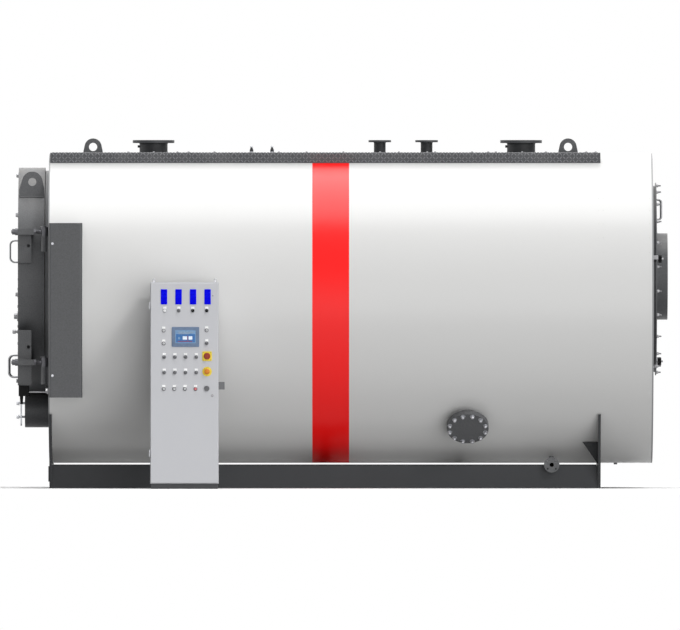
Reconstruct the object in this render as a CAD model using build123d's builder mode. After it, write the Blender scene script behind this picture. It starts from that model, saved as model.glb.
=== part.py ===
from build123d import *
import os
from math import cos, floor, hypot, pi, radians, sin, sqrt

# Horizontal fire-tube boiler on a channel skid, with its control cabinet. Millimetres.
# +X runs from the front door to the flue outlet, +Z is up, and the control cabinet stands at -Y.
# The origin is on the floor, under the boiler's axis, at the middle of the skid.

os.makedirs("parts", exist_ok=True)

# Fits
seat_gap = 0.3
pin_play = 0.05
hinge_rest_gap = 0.5
neck_inset = 10

# Boiler drum and its casing courses
drum_radius = 1500
ground_clearance = 240
casing_wall = 100
casing_front_x = -2660
front_course_length = 2537
band_width = 356
rear_course_length = 2434
smokebox_length = 490
front_plate_thick = 12
rear_plate_thick = 15

# Skid
rail_height = 220
rail_outer_y = 900
rail_flange = 80
rail_flange_thick = 12.5
rail_web = 9
rail_root_radius = 12.5
beam_height = 200
beam_flange = 100
beam_flange_thick = 8.5
beam_web = 5.6
beam_root_radius = 12
beam_spacing = 1300
saddle_thick = 25
saddle_tip_z = 714
saddle_tip_margin = 25.4
saddle_front_overhang = 5
saddle_rear_inset = 2
saddle_pad_width = 600
saddle_pad_thick = 16
saddle_pad_z0 = 60
saddle_pad_height = 148
gusset_y = 769
gusset_thick = 16
gusset_length = 150
gusset_height = 218

# Walkway
walkway_thick = 5
walkway_half_angle = 20.5
walkway_opening_gap = 2
walkway_fold_radius = 8
walkway_web_inset = 150
walkway_web_count = 7

# Lifting lugs on the drum
lug_front_offset = 410
lug_rear_offset = 310
lug_thick = 30
lug_base = 188
lug_base_height = 21
lug_top_radius = 83
lug_eye_radius = 40
lug_eye_rise = 64

# Large water nozzles
water_front_offset = 997
water_rear_offset = 1669
water_neck_radius = 136.5
water_bore_radius = 128.5
water_weld_radius = 142
water_flange_radius = 202.5
water_flange_thick = 28
water_pcd = 355
water_bolts = 12
water_bolt_hole_radius = 13
nozzle_rise = 130
weld_length = 7
coupling_radius = 12
coupling_reach = 18
coupling_drop = 61

# Smaller nozzles for the safety valves
safety_offset = 298
safety_spacing = 454
safety_neck_radius = 57.15
safety_bore_radius = 53.6
safety_weld_radius = 62
safety_flange_radius = 110
safety_flange_thick = 20
safety_pcd = 180
safety_bolts = 8
safety_bolt_hole_radius = 9

# Sensor pockets
pocket_offset = 1947
pocket_spacing = 199
pocket_radius = 18
pocket_tip_radius = 8
pocket_body_rise = 34
pocket_rise = 63

# Handhole
handhole_offset = 1145
handhole_angle = 46
handhole_standoff = 120
handhole_cover_thick = 27
handhole_neck_radius = 136.5
handhole_bore_radius = 126.5
handhole_flange_radius = 202.5
handhole_flange_thick = 27
handhole_pcd = 355
handhole_bolts = 12
handhole_bolt_hole_radius = 13

# Drains
drain_offset = 1959
drain_y = 420
drain_above_rail = 6
drain_radius = 24.15
drain_bore_radius = 20
drain_bend_radius = 65
drain_flange_radius = 75
drain_flange_thick = 18
drain_flange_standoff = 30
drain_pcd = 110
drain_bolts = 4
drain_bolt_hole_radius = 9
drain_notch_margin = 6
condensate_offset = 150
condensate_radius = 17
condensate_bore_radius = 13.5
condensate_drop = 15

# Front door and what it closes on
door_rise = 276
door_margin = 413
door_depth = 257
door_gap = 5
door_plate_thick = 12
door_rim_thick = 12
lining_inset = 14
throat_chamfer = 70
ring_step = 28
ring_width = 74
ring_depth = 34
burner_drop = 354
burner_plate_radius = 397
burner_opening_radius = 400
burner_seat_inner_radius = 340
burner_seat_outer_radius = 430
burner_seat_thick = 20
burner_bore_radius = 165
burner_stud_circle_radius = 230
burner_stud_hole_radius = 9
burner_stud_count = 8
tube_plate_thick = 30
furnace_radius = 492
furnace_wall = 14
furnace_length = 4560
furnace_end_thick = 20

# Smoke tubes, on rings round the furnace
smoke_tube_radius = 38
smoke_tube_wall = 4
smoke_tube_projection = 6
tube_ring_count = 6
tube_ring_gap = 85
tube_ring_spacing = 125
tube_pitch = 125
tube_edge_margin = 30

# Door fittings
door_lug_inset = 362
door_lug_thick = 25
door_lug_eye_x = 136
door_lug_eye_rise = 135.1
door_lug_eye_radius = 39
door_lug_top_radius = 100
door_lug_front_inset = 10
door_lug_width = 242
door_lug_base_drop = 60
handle_radius = 9
handle_reach = 95
handle_bend = 45
upper_handle_inset = 287
upper_handle_rise = 276
lower_handle_y = 380
lower_handle_rise = 248
handle_height = 210
sight_y = 560
sight_flange_radius = 48
sight_flange_thick = 12
sight_barrel_radius = 27
sight_barrel_reach = 42
sight_bore_radius = 17
sight_bore_depth = 20

# Adjustable door hinge
hinge_offset = 93
hinge_axis_gap = 37
eye_radius = 35
eye_height = 86
upper_eye_drop = 668
lower_eye_rise = 245
upper_post_height = 147
lower_post_height = 170
post_radius = 35
post_bracket_width = 50
pin_radius = 20
pin_head = 14
shank_radius = 17
shank_reach = 54
shank_play = 0.3
nut_across_flats = 55
nut_thick = 29
washer_radius = 34
washer_thick = 25
lock_nut_thick = 22
arm_height = 56
arm_depth = 155
arm_overhang = 35
bracket_depth = 131
bracket_flange_offset = 23
bracket_flange_thick = 16
bracket_strap_thick = 20
upper_bracket_drop = 300
lower_bracket_drop = 224
lower_bracket_rise = 313
bracket_hole_radius = 16
bracket_hole_inset = 103
upper_bracket_hole_drop = 135
lower_bracket_hole_rise = 148
switch_length = 102
switch_width = 60
switch_height = 103
switch_inset = 8
switch_nose_length = 35
switch_nose_width = 30
switch_nose_height = 77
switch_nose_inset = 11
switch_nose_taper = 4
switch_corner = 8

# Sheet cover behind the hinge
hinge_cover_length = 321
hinge_cover_overhang = 3
hinge_cover_drop = 297
hinge_cover_height = 1684
hinge_cover_standoff = 60
hinge_cover_fold = 22

# Manhole
manhole_rise = 512
manhole_half_height = 168
manhole_half_width = 215
manhole_wall = 30
manhole_length = 238
manhole_cover_thick = 25
manhole_cover_inset = 18
manhole_plate_standoff = 29
manhole_plate_thick = 15
manhole_plate_height = 304
manhole_plate_width = 90
manhole_plate_corner = 30
manhole_stud_radius = 11
manhole_stud_spacing = 132
manhole_stud_reach = 80

# Rear cover and flue outlet
rear_cover_rise = 283
rear_cover_radius = 902
rear_cover_thick = 29
rear_rim_radius = 934
rear_rim_thick = 10
rear_hole_radius = 800
flue_rise = 308
flue_radius = 419.5
flue_wall = 8
flue_length = 109
clamp_radius = 895
clamp_upper_angle = 12.5
clamp_lower_angle = 63
clamp_block_length = 40
clamp_block_width = 34
clamp_knob_radius = 30
clamp_knob_thick = 34
clamp_standoff = 10
clamp_stud_radius = 10
clamp_stud_end = 18
rear_handle_y = 350
rear_handle_rise = 577
rear_handle_height = 190
rear_handle_reach = 48
rear_handle_radius = 8
rear_handle_bend = 26

# Control cabinet
cabinet_x0 = -1683
cabinet_width = 658
cabinet_height = 1939
cabinet_depth = 380
cabinet_standoff = 100
cabinet_wall = 3
cabinet_lip = 28
plinth_height = 50
plinth_inset = 8
plinth_wall = 4
mounting_plate_thick = 4
mounting_plate_margin = 45
mounting_plate_standoff = 25
spacer_radius = 8
side_box_length = 58
side_box_height = 73
side_box_depth = 90
side_box_z0 = 956
cabinet_door_gap = 5
cabinet_door_thick = 22
cabinet_door_margin = 4
cabinet_door_corner = 6
cabinet_door_sheet = 3
cabinet_door_return = 30
gasket_width = 14
cabinet_axis_offset = 7
cabinet_axis_inset = 5
knuckle_radius = 6
knuckle_height = 34
cabinet_pin_radius = 3.5
leaf_thick = 2.5
door_leaf_thick = 5
leaf_width = 24
knuckle_inset = 260

# Instruments on the cabinet door, in a field centred on it, by distance from the field's left edge
# and from the top of the cabinet
instrument_field = 530
display_count = 4
display_width = 62
display_height = 146
display_proud = 6
display_corner = 6
display_first_column = 69
display_spacing = 140
display_drop = 140
screen_width = 264
screen_height = 192
screen_proud = 7
screen_corner = 14
screen_left = 144
screen_drop = 526
lamp_radius = 17
lamp_bezel_proud = 5
lamp_lens_radius = 13
lamp_proud = 12
lamp_dome = 5
lamp_column = 66
lamp_column_drop = 465
lamp_column_spacing = 124
lamp_row_count = 4
lamp_row_drop = 1027
lamp_row_spacing = 102
switch_radius = 19
switch_bezel_proud = 6
switch_knob_radius = 14
switch_proud = 16
switch_grip_width = 8
switch_grip_proud = 6
switch_rows = 2
switch_columns = 4
switch_first_column = 71
switch_column_spacing = 103
switch_first_drop = 720
switch_row_spacing = 149
key_count = 4
key_first_column = 76
key_drop = 273
key_spacing = 135
main_switch_size = 92
main_switch_column = 484
main_switch_drop = 711
main_switch_proud = 8
main_switch_corner = 8
main_knob_radius = 32
main_knob_proud = 26
stop_radius = 46
stop_knob_radius = 28
stop_knob_proud = 32

# Places worked out from the sizes above
drum_axis_z = ground_clearance + drum_radius
casing_inner_radius = drum_radius - casing_wall
seat_radius = drum_radius + seat_gap
drum_top_z = drum_axis_z + drum_radius
band_x = casing_front_x + front_course_length
rear_course_x = band_x + band_width
smokebox_x = rear_course_x + rear_course_length
rear_plate_x = smokebox_x + smokebox_length
front_plate_x = casing_front_x - front_plate_thick
rear_face_x = rear_plate_x + rear_plate_thick
front_saddle_x = casing_front_x - saddle_front_overhang
rear_saddle_x = smokebox_x - saddle_rear_inset - saddle_thick
rail_x = front_saddle_x + saddle_thick
rail_length = rear_saddle_x - rail_x
saddle_tip_y = sqrt(seat_radius**2 - (drum_axis_z - saddle_tip_z) ** 2) + saddle_tip_margin
beam_half_length = rail_outer_y - rail_flange
neck_foot_z = drum_axis_z + casing_inner_radius - neck_inset
nozzle_top_z = drum_top_z + nozzle_rise
lug_xs = [casing_front_x + lug_front_offset, smokebox_x - lug_rear_offset]
water_xs = [casing_front_x + water_front_offset, rear_course_x + water_rear_offset]
safety_xs = [rear_course_x + safety_offset, rear_course_x + safety_offset + safety_spacing]
pocket_xs = [casing_front_x + pocket_offset, casing_front_x + pocket_offset + pocket_spacing]
handhole_x = rear_course_x + handhole_offset
handhole_dir = (0, -cos(radians(handhole_angle)), -sin(radians(handhole_angle)))
handhole_plane = Plane(origin=(handhole_x, 0, drum_axis_z), x_dir=(1, 0, 0), z_dir=handhole_dir)
handhole_face = drum_radius + handhole_standoff - handhole_cover_thick
drain_x = rear_course_x + drain_offset
drain_z = rail_height + drain_above_rail
condensate_x = smokebox_x + condensate_offset
door_radius = drum_radius - door_margin
door_z = drum_axis_z + door_rise
door_top_z = door_z + door_radius
door_bottom_z = door_z - door_radius
burner_z = door_z - burner_drop
ring_radius = door_radius - ring_step
ring_inner_radius = ring_radius - ring_width
ring_x = front_plate_x - ring_depth
door_back_x = ring_x - door_gap
door_front_x = door_back_x - door_depth
door_plate_x = door_front_x + door_plate_thick
manhole_z = ground_clearance + manhole_rise
rear_cover_z = drum_axis_z + rear_cover_rise
rear_rim_x = rear_face_x + rear_cover_thick
flue_x = rear_rim_x + rear_rim_thick
flue_z = drum_axis_z + flue_rise
hinge_x = front_plate_x - hinge_axis_gap
hinge_y = door_radius + hinge_offset
upper_eye_z = door_top_z - upper_eye_drop
lower_eye_z = door_bottom_z + lower_eye_rise
eyes = [upper_eye_z, lower_eye_z]
posts = [upper_post_height, lower_post_height]
nut_radius = nut_across_flats / sqrt(3)
arm_back_x = door_front_x + arm_depth
arm_end_y = hinge_y + arm_overhang
bracket_flange_y = door_radius + bracket_flange_offset
hinge_cover_z0 = lower_eye_z - hinge_cover_drop
cabinet_back_y = drum_radius + cabinet_standoff
cabinet_z0 = plinth_height
cabinet_x1 = cabinet_x0 + cabinet_width
cabinet_top_z = cabinet_z0 + cabinet_height
cabinet_front_y = cabinet_back_y + cabinet_depth
cabinet_door_back_y = cabinet_front_y + cabinet_door_gap
cabinet_door_front_y = cabinet_door_back_y + cabinet_door_thick
cabinet_axis_x = cabinet_x0 - cabinet_axis_offset
cabinet_axis_y = cabinet_door_back_y + cabinet_axis_inset
knuckle_z = [cabinet_z0 + knuckle_inset, cabinet_top_z - knuckle_inset]


def casing_course(x_start, length):
    """One insulated course of the round casing."""
    with BuildPart() as course:
        with BuildSketch(Plane.YZ.offset(x_start)):
            with Locations((0, drum_axis_z)):
                Circle(drum_radius)
                Circle(casing_inner_radius, mode=Mode.SUBTRACT)
        extrude(amount=length)
    return course.part


def nozzle_profile(x, bore, neck, weld, flange, flange_thick):
    """Half section of an upright flange welded to its neck, drawn beside its axis."""
    flange_under = nozzle_top_z - flange_thick
    Polyline(
        (x + bore, neck_foot_z),
        (x + neck, neck_foot_z),
        (x + neck, flange_under - weld_length),
        (x + weld, flange_under),
        (x + flange, flange_under),
        (x + flange, nozzle_top_z),
        (x + bore, nozzle_top_z),
        close=True,
    )


def d_handle(plane, foot, reach, height, bend, radius):
    """A bent rod handle: two legs of the given reach and a straight grip between them."""
    with BuildPart() as handle:
        with BuildLine(plane) as route:
            FilletPolyline(
                foot,
                (foot[0] + reach, foot[1]),
                (foot[0] + reach, foot[1] + height),
                (foot[0], foot[1] + height),
                radius=bend,
            )
        with BuildSketch(Plane(origin=route.line @ 0, z_dir=route.line % 0)):
            Circle(radius)
        sweep(path=route.line)
    return handle.part


# Skid rails: channels with the flat web outwards, the near one notched for the drain pipe
with BuildPart() as skid_rails:
    for side in (-1, 1):
        with BuildSketch(Plane.YZ.offset(rail_x)) as rail_section:
            with BuildLine():
                Polyline(
                    (side * rail_outer_y, 0),
                    (side * (rail_outer_y - rail_flange), 0),
                    (side * (rail_outer_y - rail_flange), rail_flange_thick),
                    (side * (rail_outer_y - rail_web), rail_flange_thick),
                    (side * (rail_outer_y - rail_web), rail_height - rail_flange_thick),
                    (side * (rail_outer_y - rail_flange), rail_height - rail_flange_thick),
                    (side * (rail_outer_y - rail_flange), rail_height),
                    (side * rail_outer_y, rail_height),
                    close=True,
                )
            make_face()
            fillet(rail_section.vertices().group_by(Axis.X)[1], rail_root_radius)
        extrude(amount=rail_length)
    with BuildSketch(Plane.XZ.offset(rail_outer_y - rail_flange)):
        with Locations((drain_x, drain_z)):
            SlotCenterToCenter(2 * drain_radius, 2 * (drain_radius + drain_notch_margin), rotation=90)
    extrude(amount=rail_flange, mode=Mode.SUBTRACT)
skid_rails.part.label = "skid_rails"
export_step(skid_rails.part, "parts/skid_rails.step")

# Cross beams between the rails
with BuildPart() as cross_beams:
    for x in (-beam_spacing, 0, beam_spacing):
        with BuildSketch(Plane.XZ.offset(beam_half_length)) as beam_section:
            with Locations((x, beam_height / 2)):
                Rectangle(beam_web, beam_height)
            with Locations((x, beam_flange_thick / 2), (x, beam_height - beam_flange_thick / 2)):
                Rectangle(beam_flange, beam_flange_thick)
            corners = beam_section.vertices().group_by(Axis.X)
            fillet(corners[1] + corners[2], beam_root_radius)
        extrude(amount=-2 * beam_half_length)
cross_beams.part.label = "cross_beams"
export_step(cross_beams.part, "parts/cross_beams.step")

# Saddle plates with the round cradle for the drum, the front pad and the rear gussets
gusset_top_z = drum_axis_z - sqrt(seat_radius**2 - (gusset_y - gusset_thick / 2) ** 2)
with BuildPart() as saddle_plates:
    for x in (front_saddle_x, rear_saddle_x):
        with BuildSketch(Plane.YZ.offset(x)):
            with BuildLine():
                Polyline(
                    (-rail_outer_y, 0),
                    (rail_outer_y, 0),
                    (saddle_tip_y, saddle_tip_z),
                    (-saddle_tip_y, saddle_tip_z),
                    close=True,
                )
            make_face()
            with Locations((0, drum_axis_z)):
                Circle(seat_radius, mode=Mode.SUBTRACT)
        extrude(amount=saddle_thick)
    with BuildSketch(Plane.YZ.offset(front_saddle_x)):
        with Locations((0, saddle_pad_z0)):
            Rectangle(saddle_pad_width, saddle_pad_height, align=(Align.CENTER, Align.MIN))
    extrude(amount=-saddle_pad_thick)
    for side in (-1, 1):
        with BuildSketch(Plane.XZ.offset(side * gusset_y - gusset_thick / 2)):
            with BuildLine():
                Polyline(
                    (rear_saddle_x, gusset_top_z),
                    (rear_saddle_x - gusset_length, gusset_top_z),
                    (rear_saddle_x, gusset_top_z - gusset_height),
                    close=True,
                )
            make_face()
        extrude(amount=gusset_thick)
saddle_plates.part.label = "saddle_plates"
export_step(saddle_plates.part, "parts/saddle_plates.step")

# Front casing course, with the hole for the front water nozzle
with BuildPart() as casing_front_course:
    add(casing_course(casing_front_x, front_course_length))
    with BuildSketch(Plane.XY.offset(drum_axis_z)):
        with Locations((water_xs[0], 0)):
            Circle(water_neck_radius + seat_gap)
    extrude(amount=drum_radius + nozzle_rise, mode=Mode.SUBTRACT)
casing_front_course.part.label = "casing_front_course"
export_step(casing_front_course.part, "parts/casing_front_course.step")

# Coloured band round the casing
with BuildPart() as casing_band:
    add(casing_course(band_x, band_width))
casing_band.part.label = "casing_band"
export_step(casing_band.part, "parts/casing_band.step")

# Rear casing course, with holes for the nozzles, the handhole and the drain
with BuildPart() as casing_rear_course:
    add(casing_course(rear_course_x, rear_course_length))
    with BuildSketch(Plane.XY.offset(drum_axis_z)):
        with Locations((water_xs[1], 0)):
            Circle(water_neck_radius + seat_gap)
        with Locations((safety_xs[0], 0), (safety_xs[1], 0)):
            Circle(safety_neck_radius + seat_gap)
    extrude(amount=drum_radius + nozzle_rise, mode=Mode.SUBTRACT)
    with BuildSketch(handhole_plane):
        Circle(handhole_neck_radius + seat_gap)
    extrude(amount=handhole_face, mode=Mode.SUBTRACT)
    with BuildSketch(Plane.XY.offset(drum_axis_z)):
        with Locations((drain_x, -drain_y)):
            Circle(drain_radius + seat_gap)
    extrude(amount=-drum_radius, mode=Mode.SUBTRACT)
casing_rear_course.part.label = "casing_rear_course"
export_step(casing_rear_course.part, "parts/casing_rear_course.step")

# Smokebox course, with the hole for its small drain
with BuildPart() as smokebox_casing:
    add(casing_course(smokebox_x, smokebox_length))
    with BuildSketch(Plane.XY.offset(drum_axis_z)):
        with Locations((condensate_x, 0)):
            Circle(condensate_radius + seat_gap)
    extrude(amount=-drum_radius - condensate_drop, mode=Mode.SUBTRACT)
smokebox_casing.part.label = "smokebox_casing"
export_step(smokebox_casing.part, "parts/smokebox_casing.step")

# Front end plate, open inside the door ring and at the manhole
with BuildPart() as front_end_plate:
    with BuildSketch(Plane.YZ.offset(front_plate_x)):
        with Locations((0, drum_axis_z)):
            Circle(drum_radius)
        with Locations((0, door_z)):
            Circle(ring_inner_radius, mode=Mode.SUBTRACT)
        with Locations((0, manhole_z)):
            Ellipse(manhole_half_width - manhole_wall, manhole_half_height - manhole_wall, mode=Mode.SUBTRACT)
    extrude(amount=front_plate_thick)
front_end_plate.part.label = "front_end_plate"
export_step(front_end_plate.part, "parts/front_end_plate.step")

# Rear end plate, open behind the rear cover
with BuildPart() as rear_end_plate:
    with BuildSketch(Plane.YZ.offset(rear_plate_x)):
        with Locations((0, drum_axis_z)):
            Circle(drum_radius)
        with Locations((0, rear_cover_z)):
            Circle(rear_hole_radius, mode=Mode.SUBTRACT)
    extrude(amount=rear_plate_thick)
rear_end_plate.part.label = "rear_end_plate"
export_step(rear_end_plate.part, "parts/rear_end_plate.step")

# Walkway of tread plate: a flat top on the crown, folded down at both sides onto the drum, with cross
# webs under it and cut-outs round the nozzles, lugs and pockets
walkway_half_width = drum_radius * sin(radians(walkway_half_angle))
walkway_inner_half = walkway_half_width - walkway_thick
walkway_under_z = drum_axis_z + seat_radius + seat_gap
walkway_top_z = walkway_under_z + walkway_thick
walkway_foot_z = drum_axis_z + drum_radius * cos(radians(walkway_half_angle)) - walkway_thick
walkway_length = smokebox_x - casing_front_x
walkway_web_step = (walkway_length - walkway_thick) / (walkway_web_count - 1)
walkway_web_width = walkway_inner_half - walkway_web_inset
with BuildPart() as walkway_plate:
    with BuildSketch(Plane.YZ.offset(casing_front_x)):
        with BuildLine():
            Polyline(
                (-walkway_half_width, walkway_foot_z),
                (-walkway_half_width, walkway_top_z),
                (walkway_half_width, walkway_top_z),
                (walkway_half_width, walkway_foot_z),
                (walkway_inner_half, walkway_foot_z),
                (walkway_inner_half, walkway_under_z),
                (-walkway_inner_half, walkway_under_z),
                (-walkway_inner_half, walkway_foot_z),
                close=True,
            )
        make_face()
    extrude(amount=walkway_length)
    fold_edges = walkway_plate.edges().filter_by(Axis.X).group_by(Axis.Z)
    fillet(fold_edges[-1], walkway_fold_radius)
    fillet(fold_edges[-2], walkway_fold_radius - walkway_thick)
    for i in range(walkway_web_count):
        with BuildSketch(Plane.YZ.offset(casing_front_x + i * walkway_web_step)):
            with Locations((walkway_web_inset, walkway_under_z)):
                Rectangle(
                    walkway_web_width, walkway_under_z - walkway_foot_z, align=(Align.MIN, Align.MAX)
                )
            with Locations((-walkway_web_inset, walkway_under_z)):
                Rectangle(
                    walkway_web_width, walkway_under_z - walkway_foot_z, align=(Align.MAX, Align.MAX)
                )
        extrude(amount=walkway_thick)
    with BuildSketch(Plane.YZ.offset(casing_front_x)):
        with Locations((0, drum_axis_z)):
            Circle(seat_radius)
    extrude(amount=walkway_length, mode=Mode.SUBTRACT)
    with BuildSketch(Plane.XY.offset(drum_axis_z)):
        with Locations(*[(x, 0) for x in water_xs]):
            Circle(water_neck_radius + walkway_opening_gap)
        with Locations(*[(x, 0) for x in safety_xs]):
            Circle(safety_neck_radius + walkway_opening_gap)
        with Locations(*[(x, 0) for x in pocket_xs]):
            Circle(pocket_radius + walkway_opening_gap)
        with Locations(*[(x, 0) for x in lug_xs]):
            Rectangle(lug_base + 2 * walkway_opening_gap, lug_thick + 2 * walkway_opening_gap)
    extrude(amount=2 * drum_radius, mode=Mode.SUBTRACT)
walkway_plate.part.label = "walkway_plate"
export_step(walkway_plate.part, "parts/walkway_plate.step")

# Lifting lugs on the top centre line
lug_foot_z = drum_top_z + seat_gap
with BuildPart() as lifting_lugs:
    for x in lug_xs:
        with BuildSketch(Plane.XZ.offset(lug_thick / 2)):
            with Locations((x, drum_top_z + lug_eye_rise)):
                Circle(lug_top_radius)
            with Locations((x, lug_foot_z)):
                Rectangle(lug_base, lug_base_height, align=(Align.CENTER, Align.MIN))
            make_hull()
            with Locations((x, lug_foot_z)):
                Rectangle(2 * lug_base, 2 * lug_base, align=(Align.CENTER, Align.MAX), mode=Mode.SUBTRACT)
            with Locations((x, drum_top_z + lug_eye_rise)):
                Circle(lug_eye_radius, mode=Mode.SUBTRACT)
        extrude(amount=-lug_thick)
lifting_lugs.part.label = "lifting_lugs"
export_step(lifting_lugs.part, "parts/lifting_lugs.step")

# Large flanged water nozzles, each with a small coupling on its neck
with BuildPart() as water_nozzles:
    for x in water_xs:
        with BuildSketch(Plane.XZ):
            with BuildLine():
                nozzle_profile(
                    x, water_bore_radius, water_neck_radius, water_weld_radius,
                    water_flange_radius, water_flange_thick,
                )
            make_face()
        revolve(axis=Axis((x, 0, 0), (0, 0, 1)))
        with BuildSketch(Plane.XY.offset(nozzle_top_z)):
            with Locations((x, 0)):
                with PolarLocations(water_pcd / 2, water_bolts, start_angle=180 / water_bolts):
                    Circle(water_bolt_hole_radius)
        extrude(amount=-water_flange_thick, mode=Mode.SUBTRACT)
        with BuildSketch(Plane.YZ.offset(x - water_neck_radius - coupling_reach)):
            with Locations((0, nozzle_top_z - coupling_drop)):
                Circle(coupling_radius)
        extrude(amount=coupling_reach + (water_neck_radius - water_bore_radius) / 2)
water_nozzles.part.label = "water_nozzles"
export_step(water_nozzles.part, "parts/water_nozzles.step")

# Smaller flanged nozzles for the safety valves
with BuildPart() as safety_valve_nozzles:
    for x in safety_xs:
        with BuildSketch(Plane.XZ):
            with BuildLine():
                nozzle_profile(
                    x, safety_bore_radius, safety_neck_radius, safety_weld_radius,
                    safety_flange_radius, safety_flange_thick,
                )
            make_face()
        revolve(axis=Axis((x, 0, 0), (0, 0, 1)))
        with BuildSketch(Plane.XY.offset(nozzle_top_z)):
            with Locations((x, 0)):
                with PolarLocations(safety_pcd / 2, safety_bolts, start_angle=180 / safety_bolts):
                    Circle(safety_bolt_hole_radius)
        extrude(amount=-safety_flange_thick, mode=Mode.SUBTRACT)
safety_valve_nozzles.part.label = "safety_valve_nozzles"
export_step(safety_valve_nozzles.part, "parts/safety_valve_nozzles.step")

# Sensor pockets: short plugs with a coned end
with BuildPart() as sensor_pockets:
    for x in pocket_xs:
        with BuildSketch(Plane.XZ):
            with BuildLine():
                Polyline(
                    (x, lug_foot_z),
                    (x + pocket_radius, lug_foot_z),
                    (x + pocket_radius, drum_top_z + pocket_body_rise),
                    (x + pocket_tip_radius, drum_top_z + pocket_rise),
                    (x, drum_top_z + pocket_rise),
                    close=True,
                )
            make_face()
        revolve(axis=Axis((x, 0, 0), (0, 0, 1)))
sensor_pockets.part.label = "sensor_pockets"
export_step(sensor_pockets.part, "parts/sensor_pockets.step")

# Handhole: neck and flange set low on the side, square to the drum
with BuildPart() as handhole_nozzle:
    with BuildSketch(handhole_plane.offset(casing_inner_radius - neck_inset)):
        Circle(handhole_neck_radius)
        Circle(handhole_bore_radius, mode=Mode.SUBTRACT)
    extrude(amount=handhole_face - casing_inner_radius + neck_inset)
    with BuildSketch(handhole_plane.offset(handhole_face)):
        Circle(handhole_flange_radius)
        Circle(handhole_bore_radius, mode=Mode.SUBTRACT)
        with PolarLocations(handhole_pcd / 2, handhole_bolts, start_angle=180 / handhole_bolts):
            Circle(handhole_bolt_hole_radius, mode=Mode.SUBTRACT)
    extrude(amount=-handhole_flange_thick)
handhole_nozzle.part.label = "handhole_nozzle"
export_step(handhole_nozzle.part, "parts/handhole_nozzle.step")

with BuildPart() as handhole_cover:
    with BuildSketch(handhole_plane.offset(handhole_face)):
        Circle(handhole_flange_radius)
        with PolarLocations(handhole_pcd / 2, handhole_bolts, start_angle=180 / handhole_bolts):
            Circle(handhole_bolt_hole_radius, mode=Mode.SUBTRACT)
    extrude(amount=handhole_cover_thick)
handhole_cover.part.label = "handhole_cover"
export_step(handhole_cover.part, "parts/handhole_cover.step")

# Bottom drain with its flange outside the near rail, and the short smokebox drain
drain_flange_y = rail_outer_y + drain_flange_standoff
drain_top_z = drum_axis_z - sqrt(casing_inner_radius**2 - drain_y**2) + neck_inset
condensate_top_z = drum_axis_z - casing_inner_radius + neck_inset
with BuildPart() as drain_pipes:
    with BuildLine(Plane.YZ.offset(drain_x)) as drain_route:
        FilletPolyline(
            (-drain_y, drain_top_z),
            (-drain_y, drain_z),
            (-drain_flange_y, drain_z),
            radius=drain_bend_radius,
        )
    with BuildSketch(Plane.XY.offset(drain_top_z)):
        with Locations((drain_x, -drain_y)):
            Circle(drain_radius)
            Circle(drain_bore_radius, mode=Mode.SUBTRACT)
    sweep(path=drain_route.line)
    with BuildSketch(Plane.XZ.offset(drain_flange_y)):
        with Locations((drain_x, drain_z)):
            Circle(drain_flange_radius)
            Circle(drain_bore_radius, mode=Mode.SUBTRACT)
            with PolarLocations(drain_pcd / 2, drain_bolts, start_angle=180 / drain_bolts):
                Circle(drain_bolt_hole_radius, mode=Mode.SUBTRACT)
    extrude(amount=drain_flange_thick)
    with BuildSketch(Plane.XY.offset(condensate_top_z)):
        with Locations((condensate_x, 0)):
            Circle(condensate_radius)
            Circle(condensate_bore_radius, mode=Mode.SUBTRACT)
    extrude(amount=-(condensate_top_z - ground_clearance + condensate_drop))
drain_pipes.part.label = "drain_pipes"
export_step(drain_pipes.part, "parts/drain_pipes.step")

# Ring that the front door closes on
with BuildPart() as front_ring:
    with BuildSketch(Plane.YZ.offset(ring_x)):
        with Locations((0, door_z)):
            Circle(ring_radius)
            Circle(ring_inner_radius, mode=Mode.SUBTRACT)
    extrude(amount=ring_depth)
front_ring.part.label = "front_ring"
export_step(front_ring.part, "parts/front_ring.step")

# Places of the smoke tubes: rings round the furnace, kept inside the opening of the door ring
tube_field = ring_inner_radius - smoke_tube_radius - tube_edge_margin
tube_places = []
for ring in range(tube_ring_count):
    ring_distance = furnace_radius + tube_ring_gap + tube_ring_spacing * ring
    tubes_round = 2 * floor(pi * ring_distance / tube_pitch)
    for i in range(tubes_round):
        tube_angle = 2 * pi * (i + ring % 2 / 2) / tubes_round
        tube_y = ring_distance * sin(tube_angle)
        tube_z = burner_z + ring_distance * cos(tube_angle)
        if hypot(tube_y, tube_z - door_z) < tube_field:
            tube_places.append((tube_y, tube_z))

# Smoke tubes, right through from the front tube plate to the rear one
with BuildPart() as smoke_tubes:
    with BuildSketch(Plane.YZ.offset(casing_front_x - smoke_tube_projection)):
        with Locations(*tube_places):
            Circle(smoke_tube_radius)
            Circle(smoke_tube_radius - smoke_tube_wall, mode=Mode.SUBTRACT)
    extrude(amount=smokebox_x - casing_front_x + 2 * smoke_tube_projection)
smoke_tubes.part.label = "smoke_tubes"
export_step(smoke_tubes.part, "parts/smoke_tubes.step")

# Front tube plate with the furnace hole and the holes for the smoke tubes
with BuildPart() as front_tube_plate:
    with BuildSketch(Plane.YZ.offset(casing_front_x)):
        with Locations((0, drum_axis_z)):
            Circle(casing_inner_radius - seat_gap)
        with Locations((0, burner_z)):
            Circle(furnace_radius + seat_gap, mode=Mode.SUBTRACT)
        with Locations(*tube_places):
            Circle(smoke_tube_radius + seat_gap, mode=Mode.SUBTRACT)
    extrude(amount=tube_plate_thick)
front_tube_plate.part.label = "front_tube_plate"
export_step(front_tube_plate.part, "parts/front_tube_plate.step")

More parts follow.
